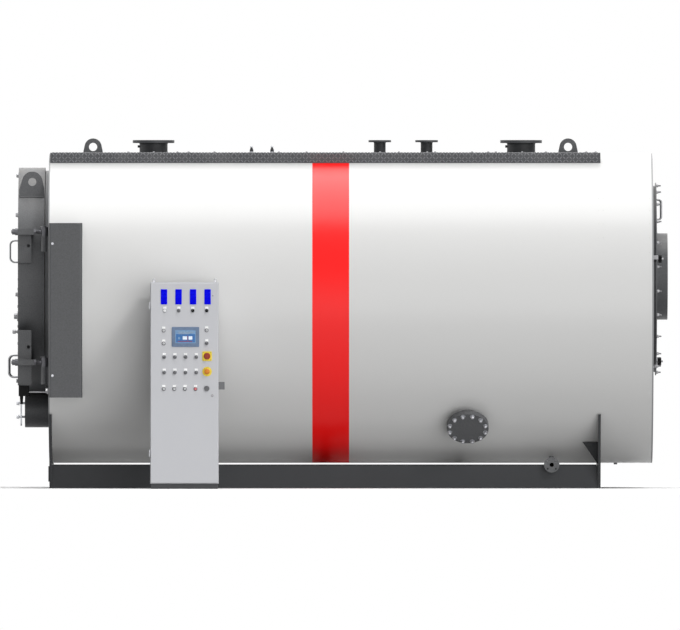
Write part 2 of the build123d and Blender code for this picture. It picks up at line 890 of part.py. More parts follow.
# Furnace tube, closed at its rear end
with BuildPart() as furnace_tube:
    with BuildSketch(Plane.YZ.offset(casing_front_x)):
        with Locations((0, burner_z)):
            Circle(furnace_radius)
    extrude(amount=furnace_length)
    with BuildSketch(Plane.YZ.offset(casing_front_x)):
        with Locations((0, burner_z)):
            Circle(furnace_radius - furnace_wall)
    extrude(amount=furnace_length - furnace_end_thick, mode=Mode.SUBTRACT)
furnace_tube.part.label = "furnace_tube"
export_step(furnace_tube.part, "parts/furnace_tube.step")

# Rear tube plate, at the back of the water space
with BuildPart() as rear_tube_plate:
    with BuildSketch(Plane.YZ.offset(smokebox_x)):
        with Locations((0, drum_axis_z)):
            Circle(casing_inner_radius - seat_gap)
        with Locations(*tube_places):
            Circle(smoke_tube_radius + seat_gap, mode=Mode.SUBTRACT)
    extrude(amount=-tube_plate_thick)
rear_tube_plate.part.label = "rear_tube_plate"
export_step(rear_tube_plate.part, "parts/rear_tube_plate.step")

# Rear cover: a thick disc with a wider thin rim plate, open for the flue
with BuildPart() as rear_cover:
    with BuildSketch(Plane.YZ.offset(rear_face_x)):
        with Locations((0, rear_cover_z)):
            Circle(rear_cover_radius)
        with Locations((0, flue_z)):
            Circle(flue_radius - flue_wall, mode=Mode.SUBTRACT)
    extrude(amount=rear_cover_thick)
    with BuildSketch(Plane.YZ.offset(rear_rim_x)):
        with Locations((0, rear_cover_z)):
            Circle(rear_rim_radius)
        with Locations((0, flue_z)):
            Circle(flue_radius - flue_wall, mode=Mode.SUBTRACT)
    extrude(amount=rear_rim_thick)
rear_cover.part.label = "rear_cover"
export_step(rear_cover.part, "parts/rear_cover.step")

# Flue outlet
with BuildPart() as flue_spigot:
    with BuildSketch(Plane.YZ.offset(flue_x)):
        with Locations((0, flue_z)):
            Circle(flue_radius)
            Circle(flue_radius - flue_wall, mode=Mode.SUBTRACT)
    extrude(amount=flue_length)
flue_spigot.part.label = "flue_spigot"
export_step(flue_spigot.part, "parts/flue_spigot.step")

# Clamps round the rear cover, each a block, a stud and a hand nut, and two lifting handles
with BuildPart() as rear_cover_fittings:
    for angle in (clamp_upper_angle, 180 - clamp_upper_angle, -clamp_lower_angle, 180 + clamp_lower_angle):
        clamp_y = clamp_radius * cos(radians(angle))
        clamp_z = rear_cover_z + clamp_radius * sin(radians(angle))
        with BuildSketch(Plane.YZ.offset(flue_x)):
            with Locations((clamp_y, clamp_z)):
                Rectangle(clamp_block_length, clamp_block_width)
        extrude(amount=clamp_standoff)
        with BuildSketch(Plane.YZ.offset(flue_x)):
            with Locations((clamp_y, clamp_z)):
                Circle(clamp_stud_radius)
        extrude(amount=clamp_standoff + clamp_knob_thick + clamp_stud_end)
        with BuildSketch(Plane.YZ.offset(flue_x + clamp_standoff)):
            with Locations((clamp_y, clamp_z)):
                RegularPolygon(clamp_knob_radius, 8)
        extrude(amount=clamp_knob_thick)
    for side in (-1, 1):
        add(
            d_handle(
                Plane.XZ.offset(side * rear_handle_y),
                (flue_x, rear_cover_z + rear_handle_rise),
                rear_handle_reach, rear_handle_height, rear_handle_bend, rear_handle_radius,
            )
        )
rear_cover_fittings.part.label = "rear_cover_fittings"
export_step(rear_cover_fittings.part, "parts/rear_cover_fittings.step")

# Oval manhole neck at the bottom of the front
with BuildPart() as manhole_neck:
    with BuildSketch(Plane.YZ.offset(front_plate_x)):
        with Locations((0, manhole_z)):
            Ellipse(manhole_half_width, manhole_half_height)
            Ellipse(manhole_half_width - manhole_wall, manhole_half_height - manhole_wall, mode=Mode.SUBTRACT)
    extrude(amount=-manhole_length)
manhole_neck.part.label = "manhole_neck"
export_step(manhole_neck.part, "parts/manhole_neck.step")

# Manhole cover inside the neck, its studs and the plate they carry
manhole_mouth_x = front_plate_x - manhole_length
manhole_plate_x = manhole_mouth_x - manhole_plate_standoff
with BuildPart() as manhole_cover:
    with BuildSketch(Plane.YZ.offset(manhole_mouth_x + manhole_cover_inset)):
        with Locations((0, manhole_z)):
            Ellipse(
                manhole_half_width - manhole_wall - seat_gap,
                manhole_half_height - manhole_wall - seat_gap,
            )
    extrude(amount=manhole_cover_thick)
    with BuildSketch(Plane.YZ.offset(manhole_mouth_x - manhole_stud_reach)):
        with Locations((0, manhole_z)):
            with GridLocations(0, manhole_stud_spacing, 1, 2):
                Circle(manhole_stud_radius)
    extrude(amount=manhole_stud_reach + manhole_cover_inset)
    with BuildSketch(Plane.YZ.offset(manhole_plate_x)):
        with Locations((0, manhole_z)):
            RectangleRounded(manhole_plate_width, manhole_plate_height, manhole_plate_corner)
    extrude(amount=-manhole_plate_thick)
manhole_cover.part.label = "manhole_cover"
export_step(manhole_cover.part, "parts/manhole_cover.step")

# Sheet cover on the side, folded at its long edges and cut to the drum behind
hinge_cover_x = casing_front_x - hinge_cover_overhang
hinge_cover_y = drum_radius + hinge_cover_standoff
with BuildPart() as hinge_cover:
    with BuildSketch(Plane.XY.offset(hinge_cover_z0)):
        with Locations((hinge_cover_x, -hinge_cover_y)):
            Rectangle(hinge_cover_length, hinge_cover_y, align=(Align.MIN, Align.MIN))
    extrude(amount=hinge_cover_height)
    fillet(hinge_cover.edges().filter_by(Axis.Z).group_by(Axis.Y)[0], hinge_cover_fold)
    with BuildSketch(Plane.YZ.offset(hinge_cover_x - hinge_cover_overhang)):
        with Locations((0, drum_axis_z)):
            Circle(seat_radius)
    extrude(amount=2 * hinge_cover_length, mode=Mode.SUBTRACT)
hinge_cover.part.label = "hinge_cover"
export_step(hinge_cover.part, "parts/hinge_cover.step")

# Fixed hinge posts: a round post on a welded bracket, with the hinge pin standing in it
with BuildPart() as hinge_posts:
    for eye_z, post_height in zip(eyes, posts):
        with BuildSketch(Plane.XY.offset(eye_z - post_height)):
            with Locations((hinge_x, -hinge_y)):
                Circle(post_radius)
                Rectangle(hinge_axis_gap, post_bracket_width, align=(Align.MIN, Align.CENTER))
        extrude(amount=post_height)
        with BuildSketch(Plane.XY.offset(eye_z)):
            with Locations((hinge_x, -hinge_y)):
                Circle(pin_radius)
        extrude(amount=eye_height + pin_head)
hinge_posts.part.label = "hinge_posts"
export_step(hinge_posts.part, "parts/hinge_posts.step")

# Eye bolts: the eye turns on the pin, and the threaded shank goes through the door bracket to its nuts
with BuildPart() as hinge_eye_bolts:
    for eye_z in eyes:
        shank_z = eye_z + eye_height / 2
        with BuildSketch(Plane.XY.offset(eye_z + hinge_rest_gap)):
            with Locations((hinge_x, -hinge_y)):
                Circle(eye_radius)
        extrude(amount=eye_height - hinge_rest_gap)
        with BuildSketch(Plane.YZ.offset(door_front_x - shank_reach)):
            with Locations((-hinge_y, shank_z)):
                Circle(shank_radius)
        extrude(amount=hinge_x - door_front_x + shank_reach)
        with BuildSketch(Plane.YZ.offset(door_front_x)):
            with Locations((-hinge_y, shank_z)):
                Circle(washer_radius)
        extrude(amount=-washer_thick)
        with BuildSketch(Plane.YZ.offset(door_front_x - washer_thick)):
            with Locations((-hinge_y, shank_z)):
                RegularPolygon(nut_radius, 6)
        extrude(amount=-nut_thick)
        with BuildSketch(Plane.YZ.offset(arm_back_x)):
            with Locations((-hinge_y, shank_z)):
                RegularPolygon(nut_radius, 6)
        extrude(amount=lock_nut_thick)
        with BuildSketch(Plane.XY.offset(eye_z)):
            with Locations((hinge_x, -hinge_y)):
                Circle(pin_radius + pin_play)
        extrude(amount=eye_height, mode=Mode.SUBTRACT)
hinge_eye_bolts.part.label = "hinge_eye_bolts"
export_step(hinge_eye_bolts.part, "parts/hinge_eye_bolts.step")

# Door brackets: an arm for the shank, a front strap on the drum of the door and a side flange
upper_shank_z = upper_eye_z + eye_height / 2
lower_shank_z = lower_eye_z + eye_height / 2
upper_hole_z = upper_shank_z - upper_bracket_hole_drop
lower_hole_z = lower_shank_z + lower_bracket_hole_rise
lower_span_z0 = lower_shank_z - lower_bracket_drop
bracket_spans = [
    (upper_shank_z, upper_shank_z - upper_bracket_drop, upper_shank_z, upper_hole_z),
    (lower_shank_z, lower_span_z0, lower_shank_z + lower_bracket_rise, lower_hole_z),
]
with BuildPart() as door_hinge_brackets:
    for shank_z, span_z0, span_z1, hole_z in bracket_spans:
        with BuildSketch(Plane.YZ.offset(door_front_x)):
            with Locations((-arm_end_y, shank_z)):
                Rectangle(arm_end_y, arm_height, align=(Align.MIN, Align.CENTER))
        extrude(amount=arm_depth)
        with BuildSketch(Plane.YZ.offset(door_front_x)):
            with Locations((-bracket_flange_y, span_z0)):
                Rectangle(bracket_flange_y, span_z1 - span_z0, align=(Align.MIN, Align.MIN))
        extrude(amount=bracket_strap_thick)
        with BuildSketch(Plane.XZ.offset(bracket_flange_y - bracket_flange_thick)):
            with Locations((door_front_x, span_z0)):
                Rectangle(bracket_depth, span_z1 - span_z0, align=(Align.MIN, Align.MIN))
            with Locations((door_front_x + bracket_hole_inset, hole_z)):
                Circle(bracket_hole_radius, mode=Mode.SUBTRACT)
        extrude(amount=bracket_flange_thick)
        with BuildSketch(Plane.YZ.offset(door_front_x)):
            with Locations((-hinge_y, shank_z)):
                Circle(shank_radius + shank_play)
        extrude(amount=arm_depth, mode=Mode.SUBTRACT)
    with BuildSketch(Plane.YZ.offset(door_front_x)):
        with Locations((0, door_z)):
            Circle(door_radius + seat_gap)
    extrude(amount=door_depth, mode=Mode.SUBTRACT)
door_hinge_brackets.part.label = "door_hinge_brackets"
export_step(door_hinge_brackets.part, "parts/door_hinge_brackets.step")

# Limit switch under the lower bracket
switch_top_z = lower_span_z0
switch_mid_y = -(bracket_flange_y - bracket_flange_thick / 2)
with BuildPart() as door_limit_switch:
    with BuildSketch(Plane.XY.offset(switch_top_z)):
        with Locations((door_front_x + switch_inset, switch_mid_y)):
            Rectangle(switch_length, switch_width, align=(Align.MIN, Align.CENTER))
    extrude(amount=-switch_height)
    fillet(door_limit_switch.edges().filter_by(Axis.Z), switch_corner)
    with BuildSketch(Plane.XY.offset(switch_top_z - switch_height)):
        with Locations((door_front_x + switch_inset + switch_nose_inset, switch_mid_y)):
            Rectangle(switch_nose_length, switch_nose_width, align=(Align.MIN, Align.CENTER))
    extrude(amount=-switch_nose_height, taper=switch_nose_taper)
door_limit_switch.part.label = "door_limit_switch"
export_step(door_limit_switch.part, "parts/door_limit_switch.step")

# Front door: a round pan with a seat for the burner plate
with BuildPart() as door_shell:
    with BuildSketch(Plane.YZ.offset(door_front_x)):
        with Locations((0, door_z)):
            Circle(door_radius)
    extrude(amount=door_depth)
    with BuildSketch(Plane.YZ.offset(door_plate_x)):
        with Locations((0, door_z)):
            Circle(door_radius - door_rim_thick)
    extrude(amount=door_depth, mode=Mode.SUBTRACT)
    with BuildSketch(Plane.YZ.offset(door_plate_x)):
        with Locations((0, burner_z)):
            Circle(burner_seat_outer_radius)
    extrude(amount=burner_seat_thick)
    with BuildSketch(Plane.YZ.offset(door_front_x)):
        with Locations((0, burner_z)):
            Circle(burner_opening_radius)
    extrude(amount=door_plate_thick, mode=Mode.SUBTRACT)
    with BuildSketch(Plane.YZ.offset(door_plate_x)):
        with Locations((0, burner_z)):
            Circle(burner_seat_inner_radius)
    extrude(amount=burner_seat_thick, mode=Mode.SUBTRACT)
door_shell.part.label = "door_shell"
export_step(door_shell.part, "parts/door_shell.step")

# Refractory lining inside the door, with the burner throat
with BuildPart() as door_lining:
    with BuildSketch(Plane.YZ.offset(door_plate_x)):
        with Locations((0, door_z)):
            Circle(door_radius - door_rim_thick - seat_gap)
        with Locations((0, burner_z)):
            Circle(burner_seat_inner_radius, mode=Mode.SUBTRACT)
    extrude(amount=door_depth - door_plate_thick - lining_inset)
    with BuildSketch(Plane.YZ.offset(door_plate_x)):
        with Locations((0, burner_z)):
            Circle(burner_seat_outer_radius + seat_gap)
    extrude(amount=burner_seat_thick, mode=Mode.SUBTRACT)
    back_edges = door_lining.edges().filter_by(GeomType.CIRCLE).group_by(Axis.X)[-1]
    chamfer(back_edges.sort_by(SortBy.RADIUS)[0], throat_chamfer)
door_lining.part.label = "door_lining"
export_step(door_lining.part, "parts/door_lining.step")

# Plate on the burner seat, bored and drilled for a burner
with BuildPart() as burner_plate:
    with BuildSketch(Plane.YZ.offset(door_front_x)):
        with Locations((0, burner_z)):
            Circle(burner_plate_radius)
            Circle(burner_bore_radius, mode=Mode.SUBTRACT)
            with PolarLocations(burner_stud_circle_radius, burner_stud_count):
                Circle(burner_stud_hole_radius, mode=Mode.SUBTRACT)
    extrude(amount=door_plate_thick)
burner_plate.part.label = "burner_plate"
export_step(burner_plate.part, "parts/burner_plate.step")

# Sight glass beside the burner plate
with BuildPart() as sight_glass:
    with BuildSketch(Plane.YZ.offset(door_front_x)):
        with Locations((-sight_y, burner_z)):
            Circle(sight_flange_radius)
    extrude(amount=-sight_flange_thick)
    with BuildSketch(Plane.YZ.offset(door_front_x)):
        with Locations((-sight_y, burner_z)):
            Circle(sight_barrel_radius)
    extrude(amount=-sight_barrel_reach)
    with BuildSketch(Plane.YZ.offset(door_front_x - sight_barrel_reach)):
        with Locations((-sight_y, burner_z)):
            Circle(sight_bore_radius)
    extrude(amount=sight_bore_depth, mode=Mode.SUBTRACT)
sight_glass.part.label = "sight_glass"
export_step(sight_glass.part, "parts/sight_glass.step")

# Lifting lugs on the rim of the door
door_lug_x0 = door_front_x + door_lug_front_inset
door_lug_y = door_radius - door_lug_inset
door_lug_rim_z = door_z + sqrt(door_radius**2 - door_lug_y**2)
door_lug_foot_z = door_lug_rim_z - door_lug_base_drop
door_lug_eye_z = door_lug_rim_z + door_lug_eye_rise
with BuildPart() as door_lifting_lugs:
    for side in (-1, 1):
        with BuildSketch(Plane.XZ.offset(side * door_lug_y - door_lug_thick / 2)):
            with Locations((door_front_x + door_lug_eye_x, door_lug_eye_z)):
                Circle(door_lug_top_radius)
            with Locations((door_lug_x0, door_lug_foot_z)):
                Rectangle(door_lug_width, 2 * door_lug_base_drop, align=(Align.MIN, Align.MIN))
            make_hull()
            with Locations((door_front_x + door_lug_eye_x, door_lug_eye_z)):
                Circle(door_lug_eye_radius, mode=Mode.SUBTRACT)
        extrude(amount=door_lug_thick)
    with BuildSketch(Plane.YZ.offset(door_front_x)):
        with Locations((0, door_z)):
            Circle(door_radius + seat_gap)
    extrude(amount=door_depth, mode=Mode.SUBTRACT)
door_lifting_lugs.part.label = "door_lifting_lugs"
export_step(door_lifting_lugs.part, "parts/door_lifting_lugs.step")

# Bent-rod handles on the door
handle_places = [
    (door_radius - upper_handle_inset, door_z + upper_handle_rise),
    (lower_handle_y, door_bottom_z + lower_handle_rise),
    (-lower_handle_y, door_bottom_z + lower_handle_rise),
]
with BuildPart() as door_handles:
    for handle_y, handle_mid_z in handle_places:
        add(
            d_handle(
                Plane.XZ.offset(-handle_y),
                (door_front_x, handle_mid_z - handle_height / 2),
                -handle_reach, handle_height, handle_bend, handle_radius,
            )
        )
door_handles.part.label = "door_handles"
export_step(door_handles.part, "parts/door_handles.step")

# Cabinet carcass: a sheet box, open at the front inside a folded lip
with BuildPart() as cabinet_shell:
    with BuildSketch(Plane.XY.offset(cabinet_z0)):
        with Locations((cabinet_x0, -cabinet_front_y)):
            Rectangle(cabinet_width, cabinet_depth, align=(Align.MIN, Align.MIN))
    extrude(amount=cabinet_height)
    with BuildSketch(Plane.XY.offset(cabinet_z0 + cabinet_wall)):
        with Locations((cabinet_x0 + cabinet_wall, -cabinet_front_y + cabinet_wall)):
            Rectangle(
                cabinet_width - 2 * cabinet_wall, cabinet_depth - 2 * cabinet_wall,
                align=(Align.MIN, Align.MIN),
            )
    extrude(amount=cabinet_height - 2 * cabinet_wall, mode=Mode.SUBTRACT)
    with BuildSketch(Plane.XZ.offset(cabinet_front_y)):
        with Locations((cabinet_x0 + cabinet_lip, cabinet_z0 + cabinet_lip)):
            Rectangle(
                cabinet_width - 2 * cabinet_lip, cabinet_height - 2 * cabinet_lip,
                align=(Align.MIN, Align.MIN),
            )
    extrude(amount=-cabinet_wall, mode=Mode.SUBTRACT)
cabinet_shell.part.label = "cabinet_shell"
export_step(cabinet_shell.part, "parts/cabinet_shell.step")

# Plinth frame under the cabinet
with BuildPart() as cabinet_plinth:
    with BuildSketch():
        with Locations((cabinet_x0 + cabinet_width / 2, -cabinet_back_y - cabinet_depth / 2)):
            Rectangle(cabinet_width - 2 * plinth_inset, cabinet_depth - 2 * plinth_inset)
            Rectangle(
                cabinet_width - 2 * plinth_inset - 2 * plinth_wall,
                cabinet_depth - 2 * plinth_inset - 2 * plinth_wall,
                mode=Mode.SUBTRACT,
            )
    extrude(amount=plinth_height)
cabinet_plinth.part.label = "cabinet_plinth"
export_step(cabinet_plinth.part, "parts/cabinet_plinth.step")

# Mounting plate inside the cabinet, on spacers at its corners
plate_back_y = cabinet_back_y + cabinet_wall + mounting_plate_standoff
plate_width = cabinet_width - 2 * mounting_plate_margin
plate_height = cabinet_height - 2 * mounting_plate_margin
spacer_span_x = plate_width - mounting_plate_margin
spacer_span_z = plate_height - mounting_plate_margin
with BuildPart() as cabinet_mounting_plate:
    with BuildSketch(Plane.XZ.offset(plate_back_y)):
        with Locations((cabinet_x0 + cabinet_width / 2, cabinet_z0 + cabinet_height / 2)):
            Rectangle(plate_width, plate_height)
    extrude(amount=mounting_plate_thick)
    with BuildSketch(Plane.XZ.offset(cabinet_back_y + cabinet_wall)):
        with Locations((cabinet_x0 + cabinet_width / 2, cabinet_z0 + cabinet_height / 2)):
            with GridLocations(spacer_span_x, spacer_span_z, 2, 2):
                Circle(spacer_radius)
    extrude(amount=mounting_plate_standoff)
cabinet_mounting_plate.part.label = "cabinet_mounting_plate"
export_step(cabinet_mounting_plate.part, "parts/cabinet_mounting_plate.step")

# Small box on the right side of the cabinet
with BuildPart() as cabinet_side_box:
    with BuildSketch(Plane.XY.offset(side_box_z0)):
        with Locations((cabinet_x1, -cabinet_front_y + cabinet_depth / 2)):
            Rectangle(side_box_length, side_box_depth, align=(Align.MIN, Align.CENTER))
    extrude(amount=side_box_height)
cabinet_side_box.part.label = "cabinet_side_box"
export_step(cabinet_side_box.part, "parts/cabinet_side_box.step")

# Fixed half of the cabinet hinges: lower knuckle, pin and a leaf on the side wall
with BuildPart() as cabinet_hinge_pins:
    for z in knuckle_z:
        with BuildSketch(Plane.XY.offset(z)):
            with Locations((cabinet_axis_x, -cabinet_axis_y)):
                Circle(knuckle_radius)
            with Locations((cabinet_x0, -cabinet_axis_y)):
                Rectangle(
                    leaf_thick, cabinet_axis_y - cabinet_front_y + leaf_width, align=(Align.MAX, Align.MIN)
                )
        extrude(amount=knuckle_height)
        with BuildSketch(Plane.XY.offset(z + knuckle_height)):
            with Locations((cabinet_axis_x, -cabinet_axis_y)):
                Circle(cabinet_pin_radius)
        extrude(amount=knuckle_height)
cabinet_hinge_pins.part.label = "cabinet_hinge_pins"
export_step(cabinet_hinge_pins.part, "parts/cabinet_hinge_pins.step")

# Moving half of the cabinet hinges: upper knuckle on a leaf at the edge of the door
with BuildPart() as cabinet_door_hinges:
    for z in knuckle_z:
        with BuildSketch(Plane.XY.offset(z + knuckle_height + hinge_rest_gap)):
            with Locations((cabinet_axis_x, -cabinet_axis_y)):
                Circle(knuckle_radius)
            with Locations((cabinet_axis_x, -cabinet_axis_y)):
                Rectangle(
                    cabinet_axis_offset + cabinet_door_margin, door_leaf_thick,
                    align=(Align.MIN, Align.CENTER),
                )
            with Locations((cabinet_axis_x, -cabinet_axis_y)):
                Circle(cabinet_pin_radius + pin_play, mode=Mode.SUBTRACT)
        extrude(amount=knuckle_height - hinge_rest_gap)
cabinet_door_hinges.part.label = "cabinet_door_hinges"
export_step(cabinet_door_hinges.part, "parts/cabinet_door_hinges.step")

# Cabinet door leaf: a folded sheet pan, open at the back inside its returned edge
cabinet_door_width = cabinet_width - 2 * cabinet_door_margin
cabinet_door_height = cabinet_height - 2 * cabinet_door_margin
pan_inner = 2 * cabinet_door_sheet
pan_opening = 2 * cabinet_door_return
cabinet_mid_x = cabinet_x0 + cabinet_width / 2
cabinet_mid_z = cabinet_z0 + cabinet_height / 2
with BuildPart() as cabinet_door_panel:
    with BuildSketch(Plane.XZ.offset(cabinet_door_back_y)):
        with Locations((cabinet_mid_x, cabinet_mid_z)):
            Rectangle(cabinet_door_width, cabinet_door_height)
    extrude(amount=cabinet_door_thick)
    fillet(cabinet_door_panel.faces().sort_by(Axis.Y)[0].edges(), cabinet_door_corner)
    with BuildSketch(Plane.XZ.offset(cabinet_door_back_y + cabinet_door_sheet)):
        with Locations((cabinet_mid_x, cabinet_mid_z)):
            Rectangle(cabinet_door_width - pan_inner, cabinet_door_height - pan_inner)
    extrude(amount=cabinet_door_thick - pan_inner, mode=Mode.SUBTRACT)
    with BuildSketch(Plane.XZ.offset(cabinet_door_back_y)):
        with Locations((cabinet_mid_x, cabinet_mid_z)):
            Rectangle(cabinet_door_width - pan_opening, cabinet_door_height - pan_opening)
    extrude(amount=cabinet_door_sheet, mode=Mode.SUBTRACT)
cabinet_door_panel.part.label = "cabinet_door_panel"
export_step(cabinet_door_panel.part, "parts/cabinet_door_panel.step")

# Sealing strip between the door and the lip of the carcass
with BuildPart() as cabinet_door_gasket:
    with BuildSketch(Plane.XZ.offset(cabinet_front_y + seat_gap)):
        with Locations((cabinet_mid_x, cabinet_mid_z)):
            Rectangle(cabinet_width - cabinet_lip, cabinet_height - cabinet_lip)
            Rectangle(
                cabinet_width - cabinet_lip - 2 * gasket_width,
                cabinet_height - cabinet_lip - 2 * gasket_width,
                mode=Mode.SUBTRACT,
            )
    extrude(amount=cabinet_door_gap - seat_gap)
cabinet_door_gasket.part.label = "cabinet_door_gasket"
export_step(cabinet_door_gasket.part, "parts/cabinet_door_gasket.step")

# Instruments on the door: a row of tall indicators
field_x = cabinet_x0 + (cabinet_width - instrument_field) / 2
door_face = Plane(origin=(field_x, -cabinet_door_front_y, cabinet_top_z), x_dir=(1, 0, 0), z_dir=(0, -1, 0))
display_places = [(display_first_column + display_spacing * i, -display_drop) for i in range(display_count)]
with BuildPart() as digital_displays:
    with BuildSketch(door_face):
        with Locations(*display_places):
            RectangleRounded(display_width, display_height, display_corner)
    extrude(amount=display_proud)
digital_displays.part.label = "digital_displays"
export_step(digital_displays.part, "parts/digital_displays.step")

# Operator screen
with BuildPart() as touch_screen:
    with BuildSketch(door_face):
        with Locations((screen_left + screen_width / 2, -screen_drop)):
            RectangleRounded(screen_width, screen_height, screen_corner)
    extrude(amount=screen_proud)
touch_screen.part.label = "touch_screen"
export_step(touch_screen.part, "parts/touch_screen.step")

# Pilot lamps, each a round bezel and a domed lens: a column beside the screen and a row at the bottom
lamp_places = [(lamp_column, -lamp_column_drop), (lamp_column, -lamp_column_drop - lamp_column_spacing)]
lamp_places += [(lamp_column + lamp_row_spacing * i, -lamp_row_drop) for i in range(lamp_row_count)]
with BuildPart() as pilot_lamps:
    with BuildSketch(door_face):
        with Locations(*lamp_places):
            Circle(lamp_radius)
    extrude(amount=lamp_bezel_proud)
    with BuildSketch(door_face):
        with Locations(*lamp_places):
            Circle(lamp_lens_radius)
    extrude(amount=lamp_proud)
    fillet(pilot_lamps.edges().group_by(Axis.Y)[0], lamp_dome)
pilot_lamps.part.label = "pilot_lamps"
export_step(pilot_lamps.part, "parts/pilot_lamps.step")

# Selector switches, each a bezel, a knob and its grip: rows under the screen and one under the indicators
switch_places = []
for row in range(switch_rows):
    row_v = -switch_first_drop - switch_row_spacing * row
    switch_places += [(switch_first_column + switch_column_spacing * i, row_v) for i in range(switch_columns)]
switch_places += [(key_first_column + key_spacing * i, -key_drop) for i in range(key_count)]
with BuildPart() as selector_switches:
    with BuildSketch(door_face):
        with Locations(*switch_places):
            Circle(switch_radius)
    extrude(amount=switch_bezel_proud)
    with BuildSketch(door_face):
        with Locations(*switch_places):
            Circle(switch_knob_radius)
    extrude(amount=switch_proud)
    with BuildSketch(door_face):
        with Locations(*switch_places):
            Rectangle(switch_grip_width, 2 * switch_knob_radius)
    extrude(amount=switch_proud + switch_grip_proud)
selector_switches.part.label = "selector_switches"
export_step(selector_switches.part, "parts/selector_switches.step")

# Main switch on its square plate and the stop button on its round collar
main_place = (main_switch_column, -main_switch_drop)
stop_place = (main_switch_column, -main_switch_drop - switch_row_spacing)
with BuildPart() as stop_switches:
    with BuildSketch(door_face):
        with Locations(main_place):
            RectangleRounded(main_switch_size, main_switch_size, main_switch_corner)
        with Locations(stop_place):
            Circle(stop_radius)
    extrude(amount=main_switch_proud)
    with BuildSketch(door_face.offset(main_switch_proud)):
        with Locations(main_place):
            Circle(main_knob_radius)
    extrude(amount=main_knob_proud)
    with BuildSketch(door_face.offset(main_switch_proud)):
        with Locations(stop_place):
            Circle(stop_knob_radius)
    extrude(amount=stop_knob_proud)
stop_switches.part.label = "stop_switches"
export_step(stop_switches.part, "parts/stop_switches.step")
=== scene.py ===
from math import cos, hypot, pi, radians, sin, sqrt

import bmesh
import bpy
from mathutils import Matrix, Vector


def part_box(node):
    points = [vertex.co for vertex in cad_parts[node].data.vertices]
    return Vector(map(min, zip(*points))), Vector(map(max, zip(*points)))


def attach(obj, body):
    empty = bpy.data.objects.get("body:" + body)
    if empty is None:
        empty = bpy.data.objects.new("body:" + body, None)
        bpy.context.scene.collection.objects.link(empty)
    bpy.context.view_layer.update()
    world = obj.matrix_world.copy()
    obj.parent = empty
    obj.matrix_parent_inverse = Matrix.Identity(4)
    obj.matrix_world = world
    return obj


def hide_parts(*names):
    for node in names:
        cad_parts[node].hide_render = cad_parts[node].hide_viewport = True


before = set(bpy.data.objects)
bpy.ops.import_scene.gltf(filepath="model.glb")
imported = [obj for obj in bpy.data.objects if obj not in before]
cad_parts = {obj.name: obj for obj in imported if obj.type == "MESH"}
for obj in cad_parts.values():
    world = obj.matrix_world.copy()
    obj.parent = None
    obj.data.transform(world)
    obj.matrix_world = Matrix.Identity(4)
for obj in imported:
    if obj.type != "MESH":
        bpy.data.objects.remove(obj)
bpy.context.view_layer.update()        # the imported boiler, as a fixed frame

bl_info = {
    "name": "Industrial Boiler Dressing",
    "version": (1, 0, 0),
    "blender": (4, 5, 0),
    "location": "3D View > Sidebar > Boiler",
    "description": "Gives the packed fire-tube boiler its finishes, fasteners, welds and instruments",
    "category": "Object",
}

DRUM_Z = 1.74            # height of the drum's axis
DRUM_R = 1.5             # outside radius of the casing
DOOR_Z = 2.016           # height of the door's centre
DOOR_FACE = -2.968       # X of the door's front face
BURNER_Z = 1.662         # height of the burner opening
REAR_Z = 2.023           # height of the rear cover's centre
REAR_FACE = 3.211        # X of the rear cover's outer face
PANEL_FACE = -2.007      # Y of the cabinet door's outer face
BEAD_PITCH = 0.011       # length of weld bead between two ripples
BEAD_RIPPLE = 0.14       # how much a ripple swells the bead
WATER_NOZZLES = (-1.663, 1.902)      # X of the large necks on the top
SAFETY_NOZZLES = (0.531, 0.985)      # X of the smaller necks
SENSOR_POCKETS = (-0.713, -0.514)    # X of the sensor pockets
LIFTING_LUGS = (-2.25, 2.357)        # X of the lifting lugs
UP = Vector((0, 0, 1))
FORWARD, REARWARD = Vector((-1, 0, 0)), Vector((1, 0, 0))
NEAR, FAR = Vector((0, -1, 0)), Vector((0, 1, 0))


def srgb(red, green, blue):
    """A colour written as 0 to 255 screen values, in linear light."""
    def linear(value):
        value = value / 255
        return value / 12.92 if value <= 0.04045 else ((value + 0.055) / 1.055) ** 2.4
    return (linear(red), linear(green), linear(blue))


def colour_value(title, text, *screen):
    return bpy.props.FloatVectorProperty(
        name=title, description=text, default=srgb(*screen), size=3, subtype="COLOR", min=0, max=1)


def size_value(title, text, value):
    return bpy.props.FloatProperty(
        name=title, description=text, default=value, subtype="DISTANCE", unit="LENGTH", min=0)


def plain_value(title, text, value):
    return bpy.props.FloatProperty(name=title, description=text, default=value, min=0)


def angle_value(title, text, degrees):
    return bpy.props.FloatProperty(
        name=title, description=text, default=radians(degrees), subtype="ANGLE", unit="ROTATION")


